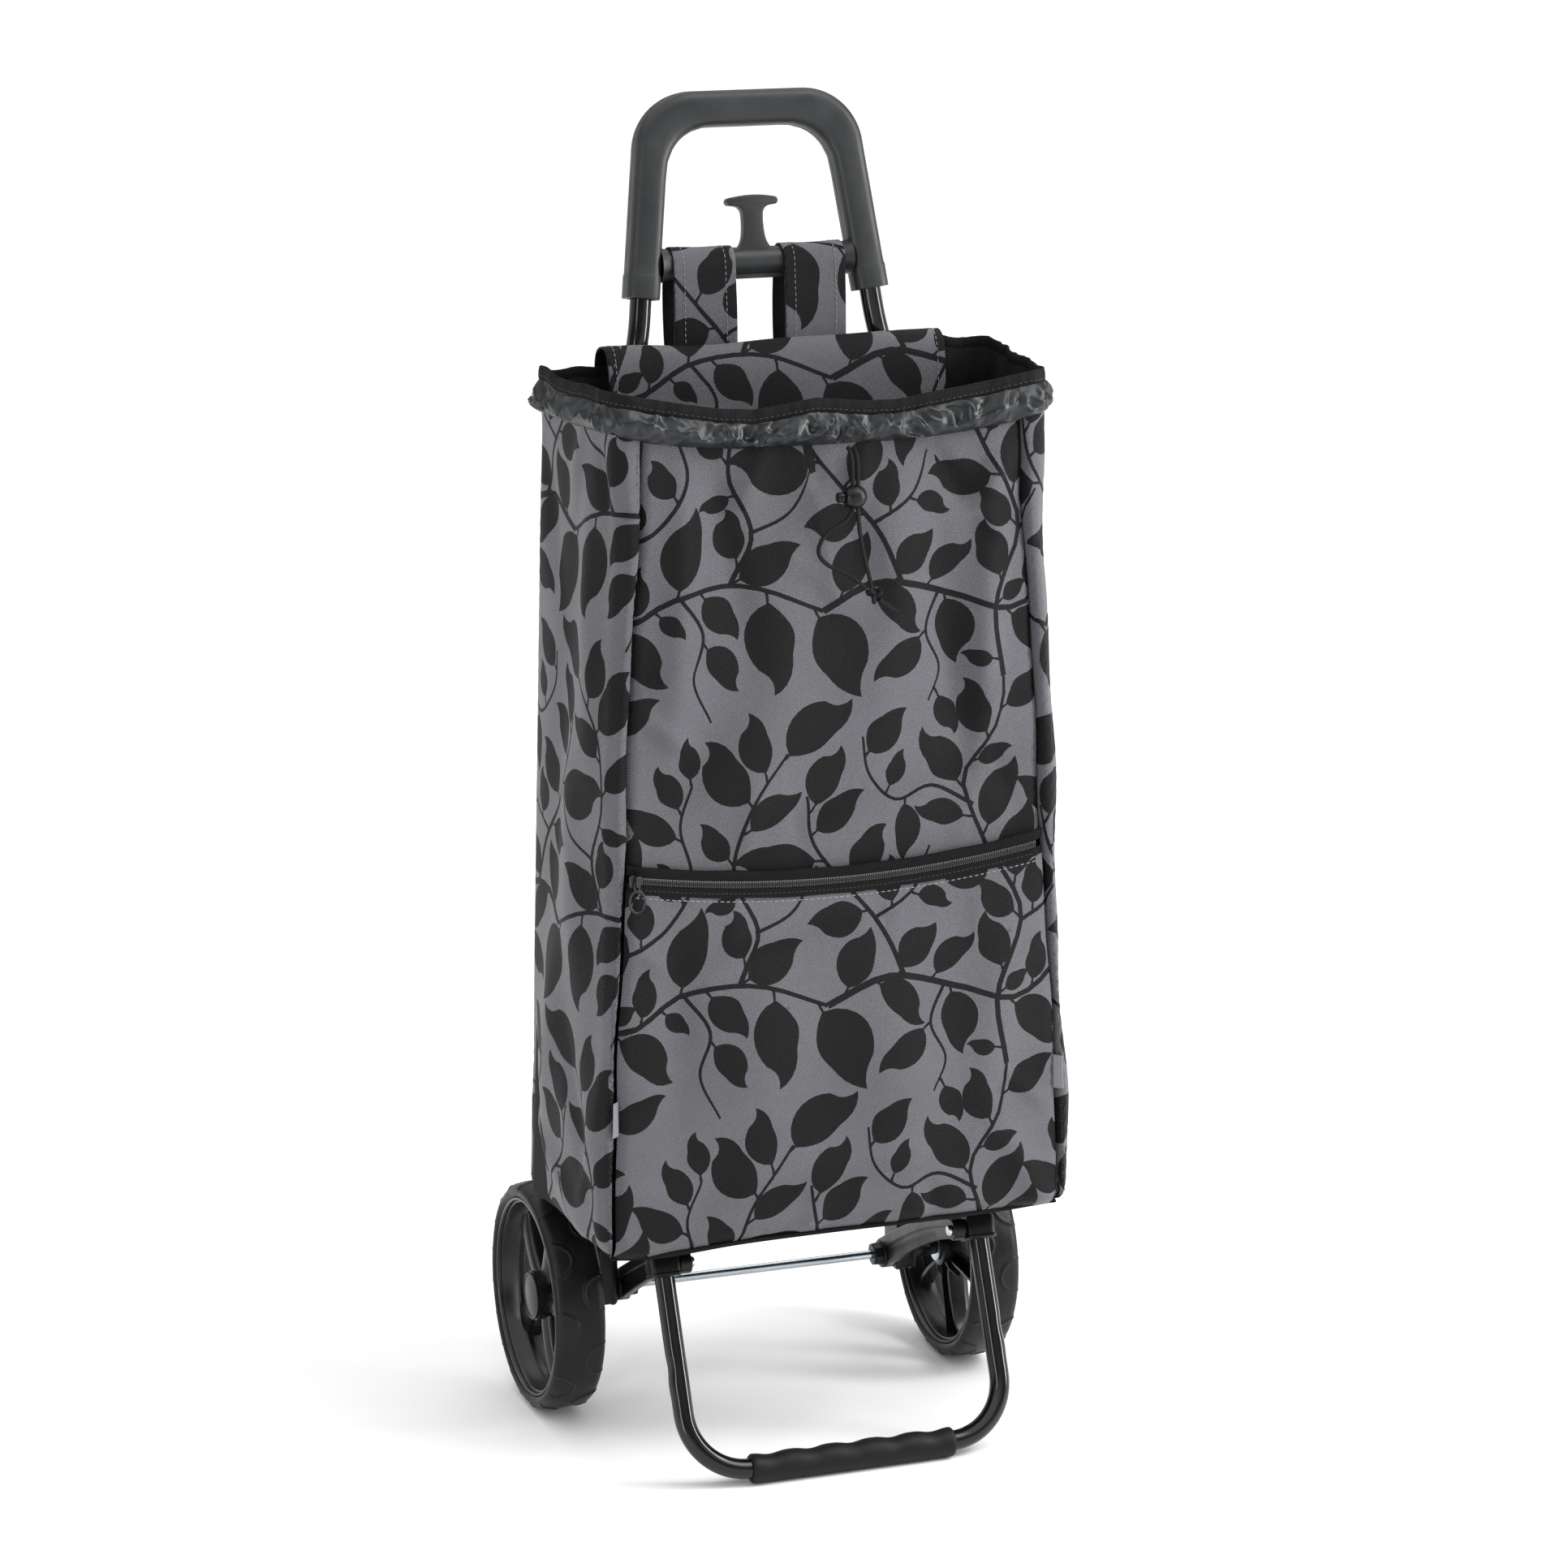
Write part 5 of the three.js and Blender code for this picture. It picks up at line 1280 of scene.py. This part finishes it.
def add_handle():
    stations = handle_stations()
    count = 15
    for name, sign, cad in (("handle_shell_front", -1, "handle_front_shell"),
                            ("handle_shell_rear", 1, "handle_rear_shell")):
        rings, uv, run, last = [], [], 0.0, None
        for x, up, angle, inner, outer, depth in stations:
            run += 0 if last is None else math.hypot(x - last[0], up - last[1])
            last = (x, up)
            section = [(inner - 0.9, 0.12), (inner - 0.1, 0.5)]
            for k in range(count):
                a = math.pi * (k + 0.5) / count
                c, s = math.cos(a), math.sin(a)
                w = inner if c > 0 else outer
                section.append((w * math.copysign(abs(c) ** 0.62, c), 0.6 + (depth - 0.6) * abs(s) ** 0.62))
            section += [(-outer + 0.1, 0.5), (-outer + 0.9, 0.12)]
            section += [(-outer + 3, 0.12), (-outer + 4, depth - 4), (0, depth - 3), (inner - 4, depth - 4),
                        (inner - 3, 0.12)]
            rings.append(in_handle([(x + u * math.sin(angle), sign * d, up - u * math.cos(angle))
                                    for u, d in section]))
            uv += [(k * 3.0, run) for k in range(len(section))]
        nu = len(section)
        faces = capped(grid_faces(nu, len(stations), wrap_u=True), nu, len(stations))
        if sign > 0:
            faces = [f[::-1] for f in faces]
        piece(name, np.concatenate(rings), faces, handle_plastic, slot="handle_plastic", nodes=[cad], uv=uv,
              sharp=42)

    reach = LEG_X - LEG_TAPER * 24 - HALF + 0.5
    xs = np.concatenate([np.linspace(-reach, -reach + 16, 9), [-40, 0, 40],
                         np.linspace(reach - 16, reach, 9)])
    angle = np.linspace(0, 2 * math.pi, 40, endpoint=False)
    rows = []
    for x in xs:
        flare = 2.6 * max(0.0, 1 - (reach - abs(x)) / 15) ** 2
        r = 10.7 + flare
        rows.append(in_handle([(x, r * math.sin(a), 24 + r * math.cos(a)) for a in angle]))
    bar = (np.concatenate(rows), grid_faces(40, len(xs), wrap_u=True),
           np.array([(a * 10, x) for x in xs for a in angle]))

    half = [(24.5, 12), (21.0, 22), (16.0, 30), (11.0, 35.5), (8.6, 41), (7.6, 48), (7.4, 55.5), (8.0, 60.5),
            (10.4, 63.6), (14.5, 64.8), (18.0, 65.2), (19.5, 66.4), (19.8, 68.4), (18.4, 70.4), (14, 71.4),
            (7, 72.3), (0, 72.6)]
    right = spline([(x, 0, z) for x, z in half], 60)
    outline = [(p[0], p[2]) for p in right] + [(-p[0], p[2]) for p in right[::-1][1:]]
    rings = []
    for depth, shrink in ((-5.0, 1.3), (-4.8, 0.5), (-4.2, 0.0), (-0.5, 0.0), (-0.3, 0.4), (0.3, 0.4),
                          (0.5, 0.0), (4.2, 0.0), (4.8, 0.5), (5.0, 1.3)):
        pts = np.array(outline)
        t = np.gradient(pts, axis=0)
        n = np.stack([t[:, 1], -t[:, 0]], axis=1)
        n /= np.linalg.norm(n, axis=1)[:, None]
        pts = pts - n * shrink
        rings.append(in_handle([(x, depth, z) for x, z in pts]))
    nu = len(outline)
    hook = (np.concatenate(rings), capped(grid_faces(nu, len(rings), wrap_u=True), nu, len(rings)),
            np.array([(x, z) for _ in rings for x, z in outline]))
    v, f, t = joined(bar, hook)
    piece("crossbar_and_hook", v, f, handle_plastic, slot="handle_plastic", nodes=["crossbar_with_hook"],
          uv=t, sharp=48)

    for side, sign in (("left", -1), ("right", 1)):
        x = sign * (LEG_X - LEG_TAPER * 60)
        prof = [(0.0, 10.4), (1.1, 10.4), (1.5, 11.0), (3.6, 11.0), (4.2, 11.5), (4.3, 12.0), (4.0, 12.3)]
        rows, ang = [], np.linspace(0, 2 * math.pi, 24, endpoint=False)
        for r, d in prof:
            rows.append(in_handle([(x + r * math.cos(a), d - 0.6, 60 + r * math.sin(a)) for a in ang]))
        rows[0][:] = in_handle([(x, 9.6, 60)])[0]
        piece(f"screw_head_{side}", np.concatenate(rows), grid_faces(24, len(prof), wrap_u=True), zinc,
              slot="zinc_steel", nodes=[f"handle_screw_{side}"], sharp=30)


add_handle()


# ---- tubes, axle and brackets --------------------------------------------------------------------------

def leg_point(along, sign):
    return (sign * (LEG_X - LEG_TAPER * along), -6.3 + along * math.sin(LEAN), 847 + along * math.cos(LEAN))


def add_tubes():
    for side, sign in (("left", -1), ("right", 1)):
        route = [(sign * x, y, z) for x, y, z in (
            (122.9, 8, 124.5), (122.9, 8, 156), (121.5, 2.5, 300), (119.5, -4, 560), (114, -9, 690),
            (105, -12, 760), (96.5, -12.6, 806))]
        route += [leg_point(-20, sign), leg_point(0, sign), leg_point(38, sign)]
        v, f, t = tube(spline(route, 120), 8.0, 28)
        piece(f"rear_tube_round_{side}", v, f, black_paint, slot="black_paint", nodes=[f"rear_tube_{side}"],
              uv=t)

    z = AXLE_Z
    v, f, t = lathe_x([(-175, 0.01), (-175, 2.6), (-174.2, 3.5), (174.2, 3.5), (175, 2.6), (175, 0.01)], 28)
    piece("axle_bar", v + (0, 0, z), f, zinc, slot="zinc_steel", nodes=["axle_rod"], uv=t)

    for side, sign in (("left", -1), ("right", 1)):
        def both(profile):
            p = [(sign * x, r) for x, r in profile]
            return p if sign > 0 else p[::-1]
        v, f, t = lathe_x(both([(149.7, 3.6), (149.7, 10.4), (150.1, 11), (151.3, 11), (151.7, 10.4),
                                (151.7, 3.6)]), 32)
        piece(f"washer_{side}", v + (0, 0, z), f, zinc, slot="zinc_steel", nodes=[f"axle_washer_{side}"],
              uv=t)
        v, f, t = lathe_x(both([(131.5, 3.7), (131.5, 5.6), (132, 6), (148.9, 6), (149.4, 5.5),
                                (149.4, 3.7)]), 28)
        piece(f"spacer_{side}", v + (0, 0, z), f, black_plastic, slot="black_plastic",
              nodes=[f"axle_spacer_{side}"], uv=t)

        # block on the axle under the rear tube
        outline = arc(4 + 14 - 5, 99.2 + 25 - 5, 5, 0, 90, 6) + arc(4 - 14 + 5, 99.2 + 25 - 5, 5, 90, 180, 6)
        outline += arc(4 - 14 + 5, 99.2 - 25 + 5, 5, 180, 270, 6) + arc(4 + 14 - 5, 99.2 - 25 + 5, 5, 270,
                                                                        360, 6)
        rings = []
        for x, s in ((114.8, 1.2), (115.8, 0.3), (117, 0), (118.6, 0), (119, 0.6), (126.6, 0.6), (127, 0),
                     (129.6, 0), (130.4, 0.3), (131, 1.2)):
            rings.append([(sign * x, 4 + (y - 4) * (1 - s / 14), 99.2 + (zz - 99.2) * (1 - s / 25)) for y,
                          zz in outline])
        nu = len(outline)
        faces = capped(grid_faces(nu, len(rings), wrap_u=True), nu, len(rings))
        if sign < 0:
            faces = [q[::-1] for q in faces]
        neck = tube(np.array([(sign * 122.9, 8, zz) for zz in (118, 121, 124.1)]), 9.0, 24)
        v, f, t = joined((np.concatenate(rings), faces, np.zeros((nu * len(rings), 2))), neck)
        piece(f"axle_block_{side}", v, f, black_plastic, slot="black_plastic",
              nodes=[f"axle_bracket_{side}"], sharp=40)

        add_arm(side, sign)


def bezier(points, t):
    a, b, c, d = (np.array(p, float) for p in points)
    return (1 - t) ** 3 * a + 3 * (1 - t) ** 2 * t * b + 3 * (1 - t) * t * t * c + t ** 3 * d


PIVOT_Y, PIVOT_Z = -146.2, 153.0


def add_arm(side, sign):
    """The arched channel from the axle to the foot's pivot, its upper edge stepped out."""
    route = ((0, AXLE_Z), (-45, 113), (-98, 143), (PIVOT_Y, PIVOT_Z))
    line = np.array([bezier(route, t) for t in np.linspace(0, 1, 40)])
    t = np.gradient(line, axis=0)
    t /= np.linalg.norm(t, axis=1)[:, None]
    across = np.stack([t[:, 1], -t[:, 0]], axis=1)
    rings = []
    for i, (c, n) in enumerate(zip(line, across)):
        s = i / 39
        h = lerp(11.2, 7.6, s ** 1.2)
        section = [(104.5, h * 0.98), (105.4, h * 1.04), (113.0, h * 1.04), (113.9, h * 0.94),
                   (113.9, h * 0.35), (112.2, h * 0.25),
                   (112.2, -h * 0.9), (111.4, -h), (106.6, -h), (106.0, -h * 0.9), (106.0, h * 0.1),
                   (104.5, h * 0.26)]
        rings.append([(sign * x, c[0] + n[0] * u, c[1] + n[1] * u) for x, u in section])
    nu = 12
    faces = capped(grid_faces(nu, 40, wrap_u=True), nu, 40)
    if sign < 0:
        faces = [q[::-1] for q in faces]
    flipped = [q[::-1] for q in faces]
    hub = lathe_x([(104.0 * sign, 3.8), (104.0 * sign, 10.4), (104.8 * sign, 11.4), (113.2 * sign, 11.4),
                   (113.9 * sign, 10.6),
                   (113.9 * sign, 3.8)][::sign], 32)
    collar = lathe_x([(97.2 * sign, 3.8), (97.2 * sign, 8.0), (98.0 * sign, 9.0),
                      (104.6 * sign, 9.6)][::sign], 8)
    eye = lathe_x([(104.0 * sign, 2.2), (104.0 * sign, 7.2), (104.8 * sign, 8.0), (113.1 * sign, 8.0),
                   (113.9 * sign, 7.2),
                   (113.9 * sign, 2.2)][::sign], 28)
    v, f, _ = joined((np.concatenate(rings), flipped, np.zeros((nu * 40, 2))), shifted(hub, dz=AXLE_Z),
                      shifted(collar, dz=AXLE_Z), shifted(eye, dy=PIVOT_Y, dz=PIVOT_Z))
    bevelled(piece(f"arm_{side}", v, f, black_plastic, slot="black_plastic", nodes=[f"support_arm_{side}"],
                   sharp=40), 0.5)
    pin = lathe_x([(101.0 * sign, 0.01), (101.0 * sign, 3.4), (101.6 * sign, 4.0), (103.6 * sign, 4.0),
                   (104.1 * sign, 3.4),
                   (104.1 * sign, 2.0), (116.7 * sign, 2.0)][::sign], 24)
    piece(f"pivot_rivet_{side}", pin[0] + (0, PIVOT_Y, PIVOT_Z), pin[1], zinc, slot="zinc_steel",
          nodes=[f"pivot_pin_{side}"])


add_tubes()


# ---- folding foot ----------------------------------------------------------------------------------------

FOOT_TOP = np.array((0, -142.4, 161.0))
FOOT_END = np.array((0, -210.2, 11.5))
FOOT_R = 7.5
FOOT_HALF = 125.0
FOOT_BEND_R = 45.0
FOOT_DIR = (FOOT_END - FOOT_TOP) / np.linalg.norm(FOOT_END - FOOT_TOP)
FOOT_LEN = float(np.linalg.norm(FOOT_END - FOOT_TOP))


def foot_point(x, s):
    return FOOT_TOP + FOOT_DIR * s + (x, 0, 0)


def add_foot():
    r = FOOT_BEND_R
    left = [foot_point(-FOOT_HALF, s) for s in np.linspace(0, FOOT_LEN - r, 24)]
    turn = [foot_point(-FOOT_HALF + r - r * math.cos(a), FOOT_LEN - r + r * math.sin(a))
            for a in np.linspace(0, math.pi / 2, 24)[1:]]
    across = [foot_point(x, FOOT_LEN) for x in np.linspace(-FOOT_HALF + r, 0, 8)[1:]]
    half = left + turn + across
    line = np.array(half + [p * (-1, 1, 1) for p in half[:-1][::-1]])
    line = resample(line, 170)
    run = np.concatenate([[0], np.cumsum(np.linalg.norm(np.diff(line, axis=0), axis=1))])

    def radius(share, angle):
        s = share * run[-1]
        s = min(s, run[-1] - s)
        dent = math.exp(-((s - 84) / 7.0) ** 2) - 0.6 * math.exp(-((s - 98) / 7.0) ** 2)
        return FOOT_R - 0.75 * dent * np.maximum(0, np.cos(angle - 0.6)) ** 2
    v, f, t = tube(line, radius, 28)
    piece("foot_tube_bent", v, f, black_paint, body="foot", slot="black_paint", nodes=["foot_tube"], uv=t)

    # grip: straight underneath, with five finger waves on top
    xs = np.linspace(-80, 80, 130)
    angle = np.linspace(0, 2 * math.pi, 40, endpoint=False)
    rings, uv = [], []
    for x in xs:
        end = max(0.0, 1 - (80 - abs(x)) / 2.2)
        wave = 0.5 + 0.5 * math.cos(2 * math.pi * (x + 80) / 32)
        up = np.clip(np.cos(angle), 0, 1) ** 0.7
        r = (10.6 + 0.9 * (np.cos(angle) < 0) * np.abs(np.cos(angle)) ** 2
             - 1.9 * (1 - wave) ** 1.4 * up - 1.4 * end ** 2)
        ring = np.stack([np.full(40, x), FOOT_END[1] - r * np.sin(angle), FOOT_END[2] + r * np.cos(angle)],
                        axis=1)
        rings.append(ring)
        uv += [(a * 10, x) for a in angle]
    faces = capped(grid_faces(40, len(xs), wrap_u=True), 40, len(xs))
    v = np.concatenate(rings)
    piece("foot_grip_rubber", v, faces, grip_rubber, body="foot", slot="grip_rubber", nodes=["foot_grip"],
          uv=uv, sharp=60)

    b1 = np.array((1.0, 0, 0))
    b2 = np.cross(FOOT_DIR, b1)
    for side, sign in (("left", -1), ("right", 1)):
        square = []
        for qx, qy, start in ((1, 1, 0), (-1, 1, 90), (-1, -1, 180), (1, -1, 270)):
            square += arc(qx * 7.6, qy * 7.6, 3.2, start, start + 90, 6)
        rings = []
        for s, grow in ((0.2, -1.4), (0.8, -0.4), (1.8, 0), (15.0, 0), (15.6, 0.5), (17.2, 0.5),
                        (18.0, -0.6), (18.0, -2.4)):
            c = foot_point(sign * FOOT_HALF, s)
            rings.append([c + b1 * u * (1 + grow / 10.8) + b2 * w * (1 + grow / 10.8) for u, w in square])
        nu = len(square)
        body = (np.concatenate(rings), capped(grid_faces(nu, len(rings), wrap_u=True), nu, len(rings)),
                np.zeros((nu * len(rings), 2)))
        ribs = []
        for u in (-4.2, 4.2):
            a = foot_point(sign * FOOT_HALF, 2.5) + b1 * u - b2 * 10.6
            c = foot_point(sign * FOOT_HALF, 17.0) + b1 * u - b2 * 10.6
            ribs.append(tube(np.array([a, (a + c) / 2, c]), 0.8, 8))
        lug = [foot_point(sign * FOOT_HALF, s) - b1 * sign * 12.6 + b2 * 1.0 for s in (2.0, 8.0, 15.0)]
        ribs.append(tube(np.array(lug), lambda q, a: 2.6 + 0 * a, 16))
        v, f, t = joined(body, *ribs)
        bevelled(piece(f"clip_{side}", v, f, black_plastic, body="foot", slot="black_plastic",
                       nodes=[f"foot_clip_{side}"], sharp=40), 0.3)
        stops = tube(np.array([foot_point(sign * FOOT_HALF, s) for s in (0.2, 0.6, 4.0)]), 5.6, 20)
        piece(f"tube_stop_{side}", stops[0], stops[1], black_plastic, body="foot", slot="black_plastic",
              nodes=[f"foot_tube_plug_{side}"])


add_foot()


# ---- wheels ------------------------------------------------------------------------------------------------

def add_wheel(side, sign):
    body = f"wheel_{side}"

    def at(v):
        v = np.asarray(v, float)
        return v + (0, 0, AXLE_Z)

    def both(profile):
        p = [(sign * x, r) for x, r in profile]
        return p if sign > 0 else p[::-1]

    # tyre: rounded shoulders with raised half moons, alternating from side to side
    shoulder = [(150.6, 76.4), (149.4, 77.4), (148.6, 79.2), (148.4, 80.6), (148.8, 82.0), (149.6, 83.2),
                (150.8, 84.2),
                (152.2, 84.9), (153.8, 85.4), (155.2, 85.7)]
    crown = [(x, 86.55 - 0.95 * abs((x - 168) / 12.6) ** 2.4) for x in np.linspace(156.6, 179.4, 31)]
    far = [(336 - x, r) for x, r in shoulder[::-1]]
    profile = shoulder + crown + far
    around = 400
    pitch = 2 * math.pi / 10

    def tread(x, r, ang):
        x = abs(x)
        lift = np.zeros(around)
        if r < 79:
            return lift
        for edge, phase in ((148.0, 0.0), (188.0, 0.5)):
            inward = abs(x - edge)
            off = ((ang / pitch + phase + 0.5) % 1 - 0.5) * pitch * 84
            q = (off / 13.5) ** 2 + (inward / 17.5) ** 2
            lift += 0.3 / (1 + np.exp((q - 1) * 16)) + 1.2 * np.exp(-((q - 1) / 0.11) ** 2)
        lift += 0.12 * math.exp(-((x - 168) / 0.8) ** 2)
        return np.minimum(lift, 87.5 - r)
    p = both(profile)
    v, f, t = lathe_x(p, around, tread)
    piece(f"tyre_moulded_{side}", at(v), f, tyre_rubber, body=body, slot="tyre_rubber",
          nodes=[f"tyre_{side}"], uv=t, sharp=0)

    # rim: deep barrel on both sides of the spokes
    barrel = [(151, 76.2), (150.2, 75.6), (150.2, 73.9), (151.2, 73.2), (153.0, 73.0), (153.4, 72.0),
              (156, 71.0), (164, 69.6),
              (166, 67.4), (170, 67.2), (172, 69.4), (180, 71.0), (182.6, 72.0), (183.0, 73.0),
              (184.8, 73.2), (185.8, 73.9),
              (185.8, 75.6), (185, 76.2)]
    rim = lathe_x(both(barrel)[::-1], 120)
    hub = lathe_x(both([(152.2, 4.0), (152.2, 13.6), (153.0, 14.8), (164, 17.4), (178.4, 18.9),
                        (179.9, 18.7), (180.2, 17.9),
                        (180.2, 16.2)]), 64)
    spokes = []
    for k in range(5):
        a = 2 * math.pi * k / 5 + 0.35
        rings = []
        for r, half, out, inn in ((15.0, 8.6, 174.5, 158.0), (24, 8.0, 175.0, 157.0),
                                  (40, 8.4, 174.6, 157.0), (56, 10.0, 173.6, 157.6),
                                  (64, 12.4, 172.8, 158.4), (70.0, 16.0, 172.2, 159.4)):
            crest = [(math.cos(q) * half, lerp(inn + 5, out,
                                               0.42 + 0.58 * math.sin(q) ** 0.8)) for q in np.linspace(0,
                                                       math.pi, 12)]
            sec = crest + [(-half, inn), (-half + 2.4, inn - 0.6), (-half + 3.0, inn + 8),
                           (half - 3.0, inn + 8), (half - 2.4, inn - 0.6), (half, inn)]
            rings.append([(sign * x, -(r * math.sin(a) + u * math.cos(a)),
                           r * math.cos(a) - u * math.sin(a)) for u, x in sec])
        nu = len(rings[0])
        faces = capped(grid_faces(nu, len(rings), wrap_u=True), nu, len(rings))
        if sign < 0:
            faces = [q[::-1] for q in faces]
        spokes.append((np.concatenate(rings), faces, np.zeros((nu * len(rings), 2))))
        w = a + math.pi / 5
        plate = [(sign * x, -(r * math.sin(w) + u * math.cos(w)), r * math.cos(w) - u * math.sin(w))
                 for u in (-0.9, 0.9) for r, x in ((14, 154.5), (22, 155.5), (30, 160.5), (30, 163), (14,
                                                                                                      163))]
        spokes.append((np.array(plate), [(0, 1, 2, 3, 4), (9, 8, 7, 6, 5)] + [(i, i + 5, (i + 1) % 5 + 5,
                (i + 1) % 5) for i in range(5)],
                       np.zeros((10, 2))))
    v, f, t = joined(rim, hub, *spokes)
    piece(f"rim_spoked_{side}", at(v), f, rim_plastic, body=body, slot="black_plastic",
          nodes=[f"rim_{side}"], sharp=38)

    v, f, t = lathe_x(both([(152.2, 3.8), (152.2, 6.0), (152.6, 6.2), (172, 6.2), (172, 3.8)]), 28)
    piece(f"bush_{side}", at(v), f, white_nylon, body=body, slot="white_nylon", nodes=[f"hub_bush_{side}"])
    v, f, t = lathe_x(both([(172.4, 3.7), (172.4, 7.4), (172.9, 8.0), (173.6, 7.4), (173.8, 3.7)]), 28)
    piece(f"push_washer_{side}", at(v), f, zinc, slot="zinc_steel", nodes=[f"push_nut_{side}"])
    v, f, t = lathe_x(both([(177.2, 15.6), (180.3, 15.8), (180.4, 17.6), (181.2, 18.2), (182.0, 17.9),
                            (182.3, 17.0), (182.0, 16.4),
                            (181.6, 16.1), (182.3, 13), (183.0, 8), (183.3, 3), (183.35, 0.01)]), 56)
    piece(f"cap_{side}", at(v), f, black_plastic, body=body, slot="black_plastic",
          nodes=[f"hub_cap_{side}"], sharp=50)


for wheel_side, wheel_sign in (("left", -1), ("right", 1)):
    add_wheel(wheel_side, wheel_sign)


# ---- floor and light ---------------------------------------------------------------------------------------

def add_studio():
    mesh = bpy.data.meshes.new("floor")
    mesh.from_pydata([(-90, -90, 0), (90, -90, 0), (90, 90, 0), (-90, 90, 0)], [], [(0, 1, 2, 3)])
    floor = bpy.data.objects.new("floor", mesh)
    bpy.context.scene.collection.objects.link(floor)
    floor.location.z = -0.0004
    mat, _, _ = material("floor", (0.86, 0.86, 0.86), 0.55)
    mesh.materials.append(mat)

    world = bpy.data.worlds.new("studio")
    bpy.context.scene.world = world
    world.use_nodes = True
    background = world.node_tree.nodes["Background"]
    tree = world.node_tree
    coords = tree.nodes.new("ShaderNodeTexCoord")
    split = tree.nodes.new("ShaderNodeSeparateXYZ")
    tree.links.new(coords.outputs["Generated"], split.inputs["Vector"])
    sky = tree.nodes.new("ShaderNodeValToRGB")
    sky.color_ramp.elements[0].position, sky.color_ramp.elements[0].color = 0.17, (0.6, 0.6, 0.6, 1)
    sky.color_ramp.elements[1].position, sky.color_ramp.elements[1].color = 0.7, (1, 1, 1, 1)
    for at, level in ((0.21, 0.12), (0.4, 0.14)):
        sky.color_ramp.elements.new(at).color = (level, level, level, 1)
    tree.links.new(split.outputs["Z"], sky.inputs["Fac"])
    power = node(tree, "ShaderNodeMath", operation="MULTIPLY")
    tree.links.new(sky.outputs["Color"], power.inputs[0])
    power.inputs[1].default_value = 1.62
    tree.links.new(power.outputs["Value"], background.inputs["Strength"])
    background.inputs["Color"].default_value = (1, 1, 1, 1)

    def area(name, place_at, target, size, energy, size_y=None):
        data = bpy.data.lights.new(name, "AREA")
        data.shape = "RECTANGLE"
        data.size, data.size_y, data.energy = size, size_y or size, energy
        light = bpy.data.objects.new(name, data)
        bpy.context.scene.collection.objects.link(light)
        light.location = place_at
        light.rotation_euler = (Vector(target) - Vector(place_at)).to_track_quat("-Z", "Y").to_euler()

    area("strip_right", (1.5, -0.75, 1.0), (0.05, -0.1, 0.5), 0.35, 30, 1.5)
    area("strip_left", (-1.6, -1.2, 0.7), (-0.1, 0, 0.35), 0.3, 10, 1.4)
    sun = bpy.data.lights.new("sun", "SUN")
    sun.energy, sun.angle = 1.0, math.radians(30)
    holder = bpy.data.objects.new("sun", sun)
    bpy.context.scene.collection.objects.link(holder)
    holder.rotation_euler = Vector((-0.52, 0.40, -0.95)).to_track_quat("-Z", "Y").to_euler()


add_studio()
view = bpy.context.scene.view_settings
view.view_transform = "Standard"
